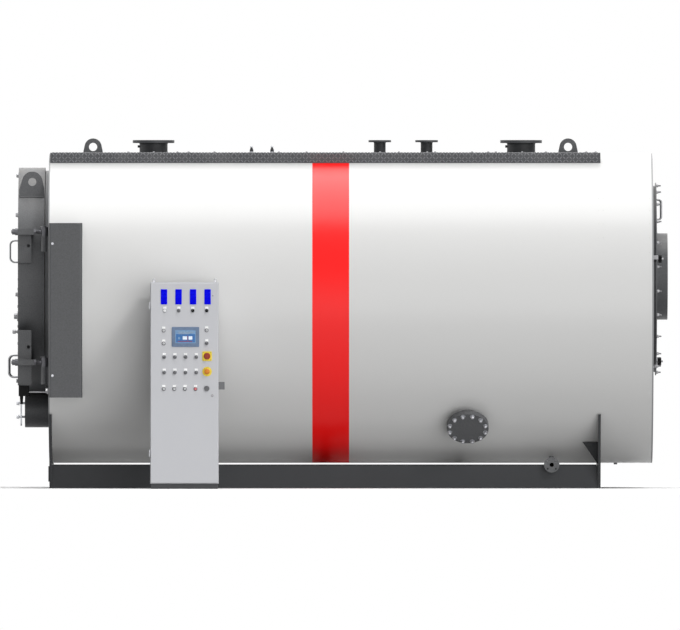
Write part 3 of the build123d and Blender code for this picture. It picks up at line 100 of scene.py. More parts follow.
class BoilerFinishes(bpy.types.PropertyGroup):
    """Colours of the boiler's finishes"""
    casing: colour_value("Casing", "White paint of the drum's casing", 209, 209, 208)
    band: colour_value("Band", "Red paint of the band round the drum", 249, 16, 16)
    tread: colour_value("Tread plate", "Dark coat of the walkway", 60, 61, 64)
    # Painted highlight: the lozenges take a lighter copy of the tread's coat, standing in for light catching
    # the raised lozenges
    lozenge: colour_value("Lozenges", "Rubbed coat on the lozenges of the walkway", 106, 107, 110)
    end_plate: colour_value("End plates", "Grey of the thin end plates", 150, 151, 153)
    door: colour_value("Door", "Grey textured paint of the door and fittings", 82, 83, 85)
    ring: colour_value("Ring", "Grey of the ring that the door shuts on", 126, 127, 129)
    cover: colour_value("Covers", "Grey of the hinge cover and the flue", 74, 75, 77)
    # Painted shade: the necks' darker colour stands in for the shadow that the flanges cast on them
    nozzle: colour_value("Nozzle necks", "Dark paint of the necks of the nozzles", 50, 51, 53)
    flange: colour_value("Nozzle flanges", "Paint of the flanges of the nozzles", 68, 69, 71)
    skid: colour_value("Skid", "Dark paint of the skid", 58, 59, 61)
    cabinet: colour_value("Cabinet", "Light powder coat of the control cabinet", 198, 199, 203)
    plinth: colour_value("Plinth", "Dark coat of the cabinet's plinth", 70, 71, 74)
    side_box: colour_value("Side box", "Grey of the small box on the cabinet", 108, 109, 111)
    display: colour_value("Displays", "Blue of the tall displays", 0, 0, 196)
    bezel: colour_value("Screen bezel", "Blue-grey frame of the touch screen", 100, 120, 148)
    yellow: colour_value("Yellow", "Plates of the main and stop switches", 238, 214, 60)
    red_knob: colour_value("Red knob", "Knob of the main switch", 150, 46, 10)
    orange_knob: colour_value("Orange knob", "Knob of the stop switch", 212, 128, 30)


class BoilerHardware(bpy.types.PropertyGroup):
    """Sizes of the boiler's fasteners, welds and tread"""
    door_bolt: size_value("Door bolt", "Width across flats of the door's closing bolts", 0.036)
    burner_bolt: size_value("Burner bolt", "Width across flats of the burner plate's bolts", 0.024)
    handhole_nut: size_value("Handhole nut", "Width across flats of the handhole's nuts", 0.030)
    rear_nut: size_value("Rear nut", "Width across flats of the rear cover's nuts", 0.024)
    rivet: size_value("Rivet", "Head width of the casing's rivets", 0.010)
    weld: size_value("Weld", "Leg of the larger welds", 0.010)
    lozenge_length: size_value("Lozenge length", "Length of one lozenge of the tread", 0.040)
    lozenge_width: size_value("Lozenge width", "Width of one lozenge of the tread", 0.0125)
    lozenge_pitch: size_value("Lozenge pitch", "Distance between lozenges of the tread", 0.0315)
    lozenge_height: size_value("Lozenge height", "Height of a lozenge over the plate", 0.0042)


class BoilerStage(bpy.types.PropertyGroup):
    """Camera, lamps and floor"""
    distance: size_value("Camera distance", "How far the camera stands from the drum's axis", 280.0)
    view_width: size_value("View width", "Width that the picture covers at the drum's axis", 6.596)
    view_x: bpy.props.FloatProperty(
        name="View centre X", description="X at the middle of the picture", default=0.145, unit="LENGTH")
    view_z: size_value("View centre height", "Height at the middle of the picture", 1.674)
    overhead: plain_value("Overhead lamp", "Strength of the overhead lamp", 2.55)
    overhead_tilt: angle_value("Overhead tilt", "How far the overhead lamp leans to the far side", 5)
    front: plain_value("Front lamp", "Strength of the front lamp", 1.45)
    key: plain_value("Key lamp", "Strength of the smaller lamp high on the right", 1.05)
    front_turn: angle_value("Front turn", "How far the front lamp stands round to the rear end", 30)
    bounce: plain_value("Bounce lamp", "Strength of the light that comes back from the floor", 0.5)
    back: plain_value("Back lamp", "Strength of the back lamp", 0.8)
    side: plain_value("Side lamp", "Strength of the lamp in front of the boiler's door", 0.9)
    ambient: plain_value("Ambient", "Strength of the even light from all sides", 0.15)
    floor: colour_value("Floor", "Colour of the pale floor", 232, 232, 232)


def finishes():
    """The sidebar's colours."""
    return bpy.context.scene.boiler_finishes


def hardware():
    """The sidebar's sizes of fasteners, welds and tread."""
    return bpy.context.scene.boiler_hardware


def at(point, direction, roll=0.0):
    """A place whose own Z points along a direction."""
    turn = Vector(direction).to_track_quat("Z", "Y").to_matrix().to_4x4()
    return Matrix.Translation(Vector(point)) @ turn @ Matrix.Rotation(roll, 4, "Z")


def facing(point):
    """A place on the cabinet door: own X to the right, own Y up and own Z towards the viewer."""
    return Matrix.Translation(Vector(point)) @ Matrix.Rotation(pi / 2, 4, "X")


def polar(radius, turn, height=0.0):
    """A point by its distance from an axis, its angle round it and its height."""
    return Vector((radius * cos(turn), radius * sin(turn), height))


def out_of_drum(degrees):
    """The direction straight out of the drum, by its angle from the top towards the far side."""
    turn = radians(degrees)
    return Vector((0, sin(turn), cos(turn)))


def on_drum(x, degrees, radius):
    """A point on the drum, by the same angle."""
    return Vector((x, 0, DRUM_Z)) + radius * out_of_drum(degrees)


def ring_places(x, z, radius, count, start=0.0):
    """Points evenly round a circle that faces along X, the first at an angle from its top."""
    for i in range(count):
        turn = radians(start) + 2 * pi * i / count
        yield Vector((x, radius * sin(turn), z + radius * cos(turn)))


def framed(point, own_x, own_y, own_z):
    """A place with the given axes of its own."""
    return Matrix.Translation(point) @ Matrix((own_x, own_y, own_z)).transposed().to_4x4()


def rounded(width, height, radius, steps=4):
    """The outline of a rectangle with round corners, about its middle."""
    points = []
    for sign_x, sign_y, start in ((1, 1, 0), (-1, 1, 90), (-1, -1, 180), (1, -1, 270)):
        for i in range(steps + 1):
            turn = radians(start + 90 * i / steps)
            points.append((sign_x * (width / 2 - radius) + radius * cos(turn),
                           sign_y * (height / 2 - radius) + radius * sin(turn)))
    return points


class Metalwork:
    """Gathers the points and faces of one piece, then makes it."""

    def __init__(self):
        self.points = []
        self.faces = []
        self.marks = []
        self.mark = 0

    def add(self, points, faces):
        start = len(self.points)
        self.points.extend(tuple(p) for p in points)
        self.faces.extend([start + i for i in face] for face in faces)
        self.marks.extend([self.mark] * len(faces))

    def lathe(self, place, profile, sides=12, loop=False):
        """Turns (radius, height) pairs round the place's own Z. A third value makes that ring a hexagon."""
        points, rings = [], []
        for entry in profile:
            radius, height = entry[0], entry[1]
            ring = []
            for i in range(sides if radius > 0 else 1):
                turn = 2 * pi * i / sides
                reach = radius
                if len(entry) > 2:
                    reach = radius / cos((turn + pi / 6) % (pi / 3) - pi / 6)
                ring.append(len(points))
                points.append(place @ polar(reach, turn, height))
            rings.append(ring)
        pairs = list(zip(rings, rings[1:]))
        if loop:
            pairs.append((rings[-1], rings[0]))
        faces = []
        for low, high in pairs:
            for i in range(sides):
                j = (i + 1) % sides
                if len(low) > 1 and len(high) > 1:
                    faces.append([low[i], low[j], high[j], high[i]])
                elif len(high) > 1:
                    faces.append([low[0], high[j], high[i]])
                elif len(low) > 1:
                    faces.append([low[i], low[j], high[0]])
        self.add(points, faces)

    def slab(self, place, outline, low, high, chamfer=0.0):
        """A flat plate over an outline in the place's own XY, its top edge chamfered."""
        count = len(outline)
        rings = [[(x, y, low) for x, y in outline]]
        if chamfer:
            inner = []
            for i in range(count):
                before, here, after = (Vector(outline[(i + k) % count]) for k in (-1, 0, 1))
                along = ((here - before).normalized() + (after - here).normalized()).normalized()
                inner.append(here + chamfer * Vector((-along.y, along.x)))
            rings.append([(x, y, high - chamfer) for x, y in outline])
            rings.append([(p.x, p.y, high) for p in inner])
        else:
            rings.append([(x, y, high) for x, y in outline])
        points = [place @ Vector(p) for ring in rings for p in ring]
        faces = [list(range(count))[::-1], [len(points) - count + i for i in range(count)]]
        for k in range(len(rings) - 1):
            for i in range(count):
                j = (i + 1) % count
                faces.append([k * count + i, k * count + j, (k + 1) * count + j, (k + 1) * count + i])
        self.add(points, faces)

    def sweep(self, path, radius, sides=8, closed=False, ripple=0.0):
        """A round rod or weld bead along a path; ripple swells it like laid weld metal."""
        path = [Vector(p) for p in path]
        count = len(path)
        side, points = None, []
        for i, here in enumerate(path):
            before = path[i - 1] if closed or i else here
            after = path[(i + 1) % count] if closed or i < count - 1 else here
            along = (after - before).normalized()
            if side is None:
                side = along.orthogonal().normalized()
            side = (side - along * side.dot(along)).normalized()
            other = along.cross(side)
            reach = radius * (1 + ripple * sin(2.1 * i) + 0.5 * ripple * sin(0.37 * i + 1))
            for k in range(sides):
                turn = 2 * pi * k / sides
                points.append(here + reach * (cos(turn) * side + sin(turn) * other))
        faces = []
        for i in range(count if closed else count - 1):
            low, high = i * sides, (i + 1) % count * sides
            for k in range(sides):
                j = (k + 1) % sides
                faces.append([low + k, low + j, high + j, high + k])
        if not closed:
            faces.append(list(range(sides))[::-1])
            faces.append([(count - 1) * sides + k for k in range(sides)])
        self.add(points, faces)

    def bolt(self, point, direction, size, height=0.65, roll=0.0):
        """A hexagon head on a washer; size is its width across flats and height a share of it."""
        self.lathe(at(point, direction, roll) @ Matrix.Scale(size, 4), [
            (0, -0.05), (0.78, -0.05), (0.78, 0.09), (0.74, 0.12), (0.5, 0.12, 6), (0.5, 0.02 + height, 6),
            (0.46, 0.12 + height), (0.36, 0.12 + height), (0.33, 0.09 + height), (0, 0.09 + height)])

    def stud(self, point, direction, size, proud, roll=0.0):
        """A washer and a nut on a threaded stud end that stands out by a length."""
        profile = [(0, -0.05), (0.78, -0.05), (0.78, 0.1), (0.52, 0.12), (0.48, 0.14), (0.5, 0.2, 6),
                   (0.5, 0.76, 6), (0.45, 0.86), (0.34, 0.86)]
        pitch, height, end = 0.13, 0.88, proud / size
        while height < end - pitch:
            profile += [(0.31, height), (0.265, height + pitch / 2)]
            height += pitch
        profile += [(0.29, height), (0.24, end), (0, end)]
        self.lathe(at(point, direction, roll) @ Matrix.Scale(size, 4), profile)

    def rivet(self, point, direction, width):
        """A low round head."""
        self.lathe(at(point, direction) @ Matrix.Scale(width, 4), [
            (0.5, -0.05), (0.49, 0.1), (0.3, 0.24), (0, 0.3)], sides=8)

    def screw(self, point, direction, width):
        """A round head with a six-sided socket."""
        self.lathe(at(point, direction) @ Matrix.Scale(width, 4), [
            (0, -0.05), (0.5, -0.05), (0.5, 0.14), (0.42, 0.3), (0.28, 0.36), (0.22, 0.34, 6), (0.2, 0.1, 6),
            (0, 0.08)])

    def make(self, name, body, slot, materials, replaces=(), sharp=34):
        """Makes the piece, which rides on a body and may replace CAD nodes."""
        mesh = bpy.data.meshes.new(name)
        mesh.from_pydata(self.points, [], self.faces)
        mesh.polygons.foreach_set("material_index", self.marks)
        work = bmesh.new()
        work.from_mesh(mesh)
        bmesh.ops.recalc_face_normals(work, faces=work.faces)
        work.to_mesh(mesh)
        work.free()
        mesh.shade_smooth()
        mesh.set_sharp_from_angle(angle=radians(sharp))
        for material in materials:
            mesh.materials.append(finish(material))
        piece = bpy.data.objects.new(name, mesh)
        bpy.context.scene.collection.objects.link(piece)
        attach(piece, body)
        if replaces:
            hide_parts(*replaces)


class Graph:
    """Adds nodes to one tree, sets their values and joins them."""

    def __init__(self, tree):
        self.tree = tree

    def add(self, kind, values=None, **settings):
        made = self.tree.nodes.new(kind)
        made.location = (190 * (len(self.tree.nodes) % 12), -260 * (len(self.tree.nodes) // 12))
        for key, value in settings.items():
            setattr(made, key, value)
        self.set(made, values or {})
        return made

    def set(self, node, values):
        for key, value in values.items():
            socket = node.inputs[key]
            if isinstance(value, bpy.types.NodeSocket):
                self.tree.links.new(value, socket)
            elif socket.type == "RGBA" and len(value) == 3:
                socket.default_value = (*value, 1)
            else:
                socket.default_value = value

    def place(self, stretch=None):
        """Where a point lies on its own piece, in metres."""
        spot = self.add("ShaderNodeTexCoord").outputs["Object"]
        if stretch:
            spot = self.add("ShaderNodeMapping", {"Vector": spot, "Scale": stretch}).outputs["Vector"]
        return spot

    def height(self):
        """How high a point lies."""
        return self.add("ShaderNodeSeparateXYZ", {0: self.place()}).outputs["Z"]

    def noise(self, scale, detail=2.0, roughness=0.5, spot=None):
        return self.add("ShaderNodeTexNoise", {
            "Vector": spot or self.place(), "Scale": scale, "Detail": detail,
            "Roughness": roughness}).outputs[0]

    def cells(self, scale, output="Distance", feature="F1"):
        return self.add("ShaderNodeTexVoronoi", {
            "Vector": self.place(), "Scale": scale}, feature=feature).outputs[output]

    def math(self, operation, first, second, clamp=False):
        made = self.add("ShaderNodeMath", {0: first, 1: second}, operation=operation, use_clamp=clamp)
        return made.outputs[0]

    def plus(self, first, second):
        return self.math("ADD", first, second)

    def minus(self, first, second):
        return self.math("SUBTRACT", first, second)

    def times(self, first, second, clamp=False):
        return self.math("MULTIPLY", first, second, clamp)

    def seen(self):
        """1 for rays from the camera, off a gloss or through glass, which see the surroundings white."""
        rays = self.add("ShaderNodeLightPath").outputs
        direct = self.math("MAXIMUM", rays["Is Camera Ray"], rays["Is Glossy Ray"])
        return self.math("MAXIMUM", direct, rays["Is Transmission Ray"])

    def span(self, value, low, high, to_low=0.0, to_high=1.0):
        return self.add("ShaderNodeMapRange", {
            "Value": value, "From Min": low, "From Max": high,
            "To Min": to_low, "To Max": to_high}).outputs["Result"]

    def blend(self, share, first, second):
        return self.add("ShaderNodeMix", {0: share, 6: first, 7: second}, data_type="RGBA").outputs[2]

    def scaled(self, colour, share):
        return self.add("ShaderNodeVectorMath", {0: colour, "Scale": share}, operation="SCALE").outputs[0]

    def effect(self, name, values):
        """Places a shared effect with its own values."""
        tree = bpy.data.node_groups.get(name) or EFFECTS[name]()
        made = self.add("ShaderNodeGroup", node_tree=tree)
        self.set(made, values)
        return made.outputs

    def bump(self, height, strength, distance):
        return self.add("ShaderNodeBump", {
            "Height": height, "Strength": strength, "Distance": distance}).outputs["Normal"]


GREY = (0.5, 0.5, 0.5, 1)
COAT = {"Color": "Color", "Roughness": "Float", "Height": "Float"}


def effect_tree(name, inputs, outputs):
    """An empty shared effect with its named sockets; gives its graph, inputs and last node."""
    tree = bpy.data.node_groups.new(name, "ShaderNodeTree")
    for title, value in inputs.items():
        kind = "NodeSocketFloat" if isinstance(value, float) else "NodeSocketColor"
        socket = tree.interface.new_socket(name=title, in_out="INPUT", socket_type=kind)
        socket.default_value = value
    for title, kind in outputs.items():
        tree.interface.new_socket(name=title, in_out="OUTPUT", socket_type="NodeSocket" + kind)
    graph = Graph(tree)
    return graph, graph.add("NodeGroupInput").outputs, graph.add("NodeGroupOutput")


def paint_coat():
    """Sprayed paint: slow tone changes, mottling and a fine skin."""
    graph, given, result = effect_tree(
        "Paint Coat",
        {"Color": GREY, "Variation": 0.05, "Roughness": 0.4, "Grain": 200.0, "Speckle": 0.0}, COAT)
    broad = graph.noise(0.8, 4, 0.6)
    mottle = graph.noise(14, 3, 0.6)
    skin = graph.noise(given["Grain"], 2, 0.55)
    mix = graph.plus(graph.times(broad, 0.5), graph.times(mottle, 0.2))
    mix = graph.plus(mix, graph.times(skin, 0.3))
    tone = graph.times(graph.minus(mix, 0.5), graph.times(given["Variation"], 4))
    tone = graph.plus(tone, graph.times(graph.minus(skin, 0.5), given["Speckle"]))
    uneven = graph.times(graph.minus(mottle, 0.5), graph.times(given["Variation"], 1.8))
    graph.set(result, {
        "Color": graph.scaled(given["Color"], graph.plus(tone, 1)),
        "Roughness": graph.plus(given["Roughness"], uneven),
        "Height": graph.plus(skin, graph.times(mottle, 0.5))})
    return result.id_data


def edge_wear():
    """Where paint has rubbed off edges, broken up by scuffs."""
    graph, given, result = effect_tree("Edge Wear", {"Width": 0.004, "Amount": 0.5}, {"Mask": "Float"})
    soft = graph.add("ShaderNodeBevel", {"Radius": given["Width"]}, samples=4).outputs[0]
    plain = graph.add("ShaderNodeNewGeometry").outputs["Normal"]
    turn = graph.add("ShaderNodeVectorMath", {0: soft, 1: plain}, operation="DOT_PRODUCT").outputs["Value"]
    edge = graph.span(turn, 0.995, 0.86)
    scuff = graph.span(graph.noise(38, 4, 0.7), 0.42, 0.62)
    graph.set(result, {"Mask": graph.times(graph.times(edge, scuff), given["Amount"], True)})
    return result.id_data


def settled_dust():
    """Dust on faces that look up, thinner where it was brushed off."""
    graph, given, result = effect_tree("Settled Dust", {"Amount": 0.3}, {"Mask": "Float"})
    normal = graph.add("ShaderNodeNewGeometry").outputs["Normal"]
    upward = graph.add("ShaderNodeSeparateXYZ", {0: normal}).outputs["Z"]
    lying = graph.span(upward, 0.55, 1.0)
    patches = graph.span(graph.noise(5, 5, 0.65), 0.35, 0.75)
    graph.set(result, {"Mask": graph.times(graph.times(lying, patches), given["Amount"], True)})
    return result.id_data


def metal_grain():
    """Tool marks and stains of bare metal."""
    graph, given, result = effect_tree(
        "Metal Grain", {"Color": GREY, "Roughness": 0.35, "Grain": 300.0}, COAT)
    lines = graph.noise(given["Grain"], 3, 0.6, graph.place((1.0, 1.0, 0.08)))
    stains = graph.noise(30, 4, 0.65)
    share = graph.plus(graph.times(lines, 0.35), graph.times(stains, 0.55))
    uneven = graph.times(graph.minus(stains, 0.5), 0.4)
    graph.set(result, {
        "Color": graph.scaled(given["Color"], graph.plus(share, 0.55)),
        "Roughness": graph.plus(given["Roughness"], uneven),
        "Height": lines})
    return result.id_data


def moulded_grain():
    """The fine spark-eroded skin of moulded plastic and rubber."""
    graph, given, result = effect_tree("Moulded Grain", {"Color": GREY, "Roughness": 0.5}, COAT)
    pits = graph.cells(900)
    rub = graph.noise(22, 4, 0.6)
    graph.set(result, {
        "Color": graph.scaled(given["Color"], graph.span(rub, 0.3, 0.7, 0.85, 1.15)),
        "Roughness": graph.plus(given["Roughness"], graph.span(rub, 0.3, 0.7, -0.08, 0.1)),
        "Height": pits})
    return result.id_data


def soot():
    """Soot and rust left by the flue gas."""
    graph, given, result = effect_tree("Soot", {"Amount": 0.6}, {"Mask": "Float", "Rust": "Float"})
    film = graph.span(graph.noise(4, 6, 0.7), 0.35, 0.65)
    bloom = graph.span(graph.noise(11, 5, 0.75), 0.52, 0.7)
    graph.set(result, {"Mask": graph.times(film, given["Amount"], True),
                       "Rust": graph.times(bloom, 0.6)})
    return result.id_data


EFFECTS = {"Paint Coat": paint_coat, "Edge Wear": edge_wear, "Settled Dust": settled_dust,
           "Metal Grain": metal_grain, "Moulded Grain": moulded_grain, "Soot": soot}


BARE_EDGE = (0.16, 0.16, 0.165)
DUST = srgb(168, 162, 152)


def fresh(name):
    """A new material with its graph and shader."""
    material = bpy.data.materials.new(name)
    material.use_nodes = True
    return material, Graph(material.node_tree), material.node_tree.nodes["Principled BSDF"]


def painted(name, colour, roughness, variation, grain, skin, wear, dust, gloss=0.35, speckle=0.0):
    """Paint over steel, rubbed at its edges and dusty on top; the colour may be worked out in the graph."""
    material, graph, shader = fresh(name)
    if callable(colour):
        colour = colour(graph)
    coat = graph.effect("Paint Coat", {
        "Color": colour, "Variation": variation, "Roughness": roughness, "Grain": grain, "Speckle": speckle})
    shade = coat["Color"]
    if wear:
        worn = graph.effect("Edge Wear", {"Amount": wear})
        shade = graph.blend(worn["Mask"], shade, BARE_EDGE)
    rough = coat["Roughness"]
    if dust:
        dusty = graph.effect("Settled Dust", {"Amount": dust})
        shade = graph.blend(dusty["Mask"], shade, DUST)
        rough = graph.plus(rough, graph.times(dusty["Mask"], 0.35))
    graph.set(shader, {
        "Base Color": shade,
        "Roughness": rough,
        "Normal": graph.bump(coat["Height"], skin, 0.001),
        "Specular IOR Level": gloss})
    return material


def bare_metal(name, colour, roughness):
    """Turned or plated metal."""
    material, graph, shader = fresh(name)
    metal = graph.effect("Metal Grain", {"Color": colour, "Roughness": roughness})
    graph.set(shader, {
        "Base Color": metal["Color"], "Roughness": metal["Roughness"], "Metallic": 1.0,
        "Normal": graph.bump(metal["Height"], 0.2, 0.0005)})
    return material


def moulded(name, colour, roughness, bump=0.25, gloss=0.4):
    """Moulded plastic or rubber."""
    material, graph, shader = fresh(name)
    skin = graph.effect("Moulded Grain", {"Color": colour, "Roughness": roughness})
    graph.set(shader, {
        "Base Color": skin["Color"], "Roughness": skin["Roughness"], "Specular IOR Level": gloss,
        "Normal": graph.bump(skin["Height"], bump, 0.0004)})
    return material


def zinc_plate(name):
    """Zinc-plated sheet with its spangle."""
    material, graph, shader = fresh(name)
    spangle = graph.cells(55, output="Color")
    share = graph.add("ShaderNodeSeparateColor", {0: spangle}).outputs[0]
    stain = graph.noise(9, 5, 0.65)
    tone = graph.plus(graph.span(share, 0, 1, 0.86, 1.05), graph.span(stain, 0.3, 0.7, -0.12, 0.08))
    graph.set(shader, {
        "Base Color": graph.scaled(srgb(196, 198, 202), tone),
        "Roughness": graph.span(share, 0, 1, 0.3, 0.48), "Metallic": 0.85,
        "Normal": graph.bump(graph.noise(160, 2), 0.12, 0.0005)})
    return material


def fired_steel(name):
    """Boiler plate in the gas path: mill scale, soot and rust."""
    material, graph, shader = fresh(name)
    marks = graph.effect("Soot", {"Amount": 0.75})
    scale = graph.noise(26, 5, 0.7)
    shade = graph.scaled(srgb(112, 106, 102), graph.span(scale, 0.3, 0.7, 0.7, 1.2))
    shade = graph.blend(marks["Rust"], shade, srgb(112, 70, 44))
    shade = graph.blend(marks["Mask"], shade, srgb(34, 32, 31))
    graph.set(shader, {
        "Base Color": shade, "Roughness": graph.span(scale, 0.3, 0.7, 0.5, 0.8),
        "Metallic": graph.minus(0.35, graph.times(marks["Mask"], 0.35)),
        "Normal": graph.bump(scale, 0.4, 0.002)})
    return material


def castable(name):
    """Cast refractory: pale binder, dark and light aggregate, fine cracks and scorching."""
    material, graph, shader = fresh(name)
    stones = graph.cells(120, output="Color")
    grey = graph.add("ShaderNodeSeparateColor", {0: stones}).outputs[0]
    crack = graph.span(graph.cells(6, feature="DISTANCE_TO_EDGE"), 0.0, 0.008, 1.0, 0.0)
    scorch = graph.span(graph.noise(3, 5, 0.6), 0.4, 0.7)
    shade = graph.scaled(srgb(196, 184, 164), graph.span(grey, 0, 1, 0.78, 1.1))
    shade = graph.blend(graph.times(scorch, 0.55), shade, srgb(92, 80, 70))
    shade = graph.blend(graph.times(crack, 0.7), shade, srgb(60, 52, 46))
    rough = graph.minus(graph.noise(90, 4, 0.7), graph.times(crack, 0.8))
    graph.set(shader, {"Base Color": shade, "Roughness": graph.span(grey, 0, 1, 0.82, 0.95),
                       "Normal": graph.bump(rough, 0.5, 0.003)})
    return material


def tread_coat(name, colour):
    """Tread plate: a dark coat with scuffs, rubbed bright on its edges."""
    material, graph, shader = fresh(name)
    coat = graph.effect("Paint Coat", {
        "Color": colour, "Variation": 0.1, "Roughness": 0.5, "Grain": 160.0})
    worn = graph.effect("Edge Wear", {"Width": 0.002, "Amount": 0.8})
    scuffs = graph.span(graph.noise(3.5, 6, 0.7), 0.45, 0.7)
    shade = graph.blend(graph.times(scuffs, 0.2), coat["Color"], srgb(122, 122, 122))
    shade = graph.blend(worn["Mask"], shade, srgb(168, 168, 170))
    graph.set(shader, {"Base Color": shade, "Roughness": coat["Roughness"],
                       "Normal": graph.bump(coat["Height"], 0.25, 0.001)})
    return material


def lit_glass(name, colour, glow, roughness=0.12, gloss=0.5, coat=0.5):
    """A lit display or lamp face under clear plastic, dimmer in patches."""
    material, graph, shader = fresh(name)
    patch = graph.noise(60, 3, 0.6)
    shade = graph.scaled(colour, graph.span(patch, 0.3, 0.7, 0.85, 1.12))
    graph.set(shader, {
        "Base Color": shade, "Emission Color": shade, "Emission Strength": glow,
        "Roughness": graph.span(patch, 0.3, 0.7, roughness, roughness + 0.08), "Specular IOR Level": gloss,
        "Coat Weight": coat})
    return material


def nozzle_paint(name):
    """Paint of the nozzles, with painted shade: the necks are painted darker than the flanges, standing in
    for the shadow that the flanges cast on them.
    """
    def neck_shade_by_height(graph):
        # Painted shade: below the flanges the necks take the darker colour
        flange = graph.span(graph.height(), 3.336, 3.348)
        return graph.blend(flange, finishes().nozzle, finishes().flange)
    return painted(name, neck_shade_by_height, 0.45, 0.1, 90.0, 0.25, 0.3, 0.2, 0.25)


def recipe(maker, colour, *values, **named):
    """A finish in one of the sidebar's colours, by its name, or in screen values of its own."""
    def made(name):
        tint = getattr(finishes(), colour) if isinstance(colour, str) else srgb(*colour)
        return maker(name, tint, *values, **named)
    return made


# Paints list roughness, variation, grain, skin, wear, dust, gloss and speckle
RECIPES = {
    "casing_white": recipe(painted, "casing", 0.28, 0.006, 90.0, 0.03, 0.0, 0.0, 0.5),
    "band_red": recipe(painted, "band", 0.3, 0.012, 90.0, 0.03, 0.0, 0.0, 0.36),
    "end_plate": recipe(painted, "end_plate", 0.5, 0.05, 160.0, 0.2, 0.2, 0.2),
    "tread": recipe(tread_coat, "tread"),
    # Painted highlight: a lighter copy of the tread coat for the raised lozenges
    "lozenge": recipe(tread_coat, "lozenge"),
    "door_grey": recipe(painted, "door", 0.44, 0.1, 100.0, 0.4, 0.35, 0.3, 0.45, 0.8),
    "ring_grey": recipe(painted, "ring", 0.44, 0.1, 70.0, 0.3, 0.3, 0.2),
    "cover_grey": recipe(painted, "cover", 0.44, 0.1, 70.0, 0.4, 0.35, 0.3, 0.42, 0.6),
    # Nozzle paint holds painted shade on the necks, under the flanges
    "nozzle_grey": nozzle_paint,
    "skid_grey": recipe(painted, "skid", 0.52, 0.12, 80.0, 0.35, 0.5, 0.25, 0.2),
    "cabinet_grey": recipe(painted, "cabinet", 0.46, 0.012, 420.0, 0.2, 0.12, 0.1),
    "plinth_grey": recipe(painted, "plinth", 0.5, 0.06, 300.0, 0.25, 0.3, 0.2),
    "box_grey": recipe(painted, "side_box", 0.5, 0.05, 300.0, 0.2, 0.2, 0.2),
    "weld": recipe(painted, "door", 0.45, 0.14, 120.0, 0.4, 0.2, 0.2),
    "skid_weld": recipe(painted, "skid", 0.45, 0.14, 120.0, 0.4, 0.2, 0.2),
    "steel": recipe(bare_metal, (148, 148, 150), 0.38),
    "bright": recipe(bare_metal, (180, 181, 185), 0.34),
    "dark_steel": recipe(bare_metal, (88, 88, 91), 0.45),
    "zinc": zinc_plate,
    "fired_steel": fired_steel,
    "refractory": castable,
    "rubber": recipe(moulded, (34, 34, 35), 0.7, 0.4),
    "black": recipe(moulded, (10, 10, 11), 0.5, gloss=0.1),
    "knob_grey": recipe(moulded, (102, 103, 106), 0.45, gloss=0.25),
    "buzzer_grey": recipe(moulded, (112, 113, 116), 0.5),
    "legend": recipe(moulded, (254, 254, 254), 0.35, 0.1),
    "duct_grey": recipe(moulded, (142, 144, 148), 0.55),
    "terminal_blue": recipe(moulded, (52, 96, 170), 0.5),
    "grey_plastic": recipe(moulded, (150, 152, 156), 0.45),
    "white_plastic": recipe(moulded, (226, 227, 228), 0.35),
    "bezel": recipe(moulded, "bezel", 0.4),
    "yellow": recipe(moulded, "yellow", 0.4),
    "red_knob": recipe(moulded, "red_knob", 0.35),
    "orange_knob": recipe(moulded, "orange_knob", 0.35),
    "display": recipe(lit_glass, "display", 0.4, 0.3, 0.04, 0.0),
    "display_digit": recipe(lit_glass, (20, 30, 226), 0.5, 0.3, 0.04, 0.0),
    "screen_sky": recipe(lit_glass, (110, 142, 176), 0.25, 0.3, 0.2, 0.0),
    "screen_blue": recipe(lit_glass, (58, 104, 158), 0.25, 0.3, 0.2, 0.0),
    "screen_white": recipe(lit_glass, (214, 222, 232), 0.3, 0.3, 0.2, 0.0),
    "screen_red": recipe(lit_glass, (128, 76, 104), 0.2, 0.3, 0.2, 0.0),
    "screen_grey": recipe(lit_glass, (150, 160, 168), 0.2, 0.3, 0.2, 0.0),
    "clear_lens": recipe(lit_glass, (186, 188, 190), 0.0),
    "red_lens": recipe(lit_glass, (204, 104, 108), 0.1),
    "sight": recipe(lit_glass, (60, 52, 44), 0.0, 0.05),
}


def finish(name):
    """The material of a finish, made when it is first used."""
    return bpy.data.materials.get("boiler_" + name) or RECIPES[name]("boiler_" + name)


def dress(material, *nodes):
    """Gives CAD nodes a finish."""
    for node in nodes:
        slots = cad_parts[node].data.materials
        slots.clear()
        slots.append(finish(material))


def arc_bead(work, centre, radius, leg, along, steps):
    """A weld bead round a circle."""
    place = at(centre, along)
    work.sweep([place @ polar(radius, 2 * pi * i / steps) for i in range(steps)], leg, 6, True, BEAD_RIPPLE)


def line_bead(work, start, end, leg):
    """A weld bead along a straight line."""
    start, end = Vector(start), Vector(end)
    count = max(2, int((end - start).length / BEAD_PITCH))
    work.sweep([start.lerp(end, i / count) for i in range(count + 1)], leg, 6, False, BEAD_RIPPLE)


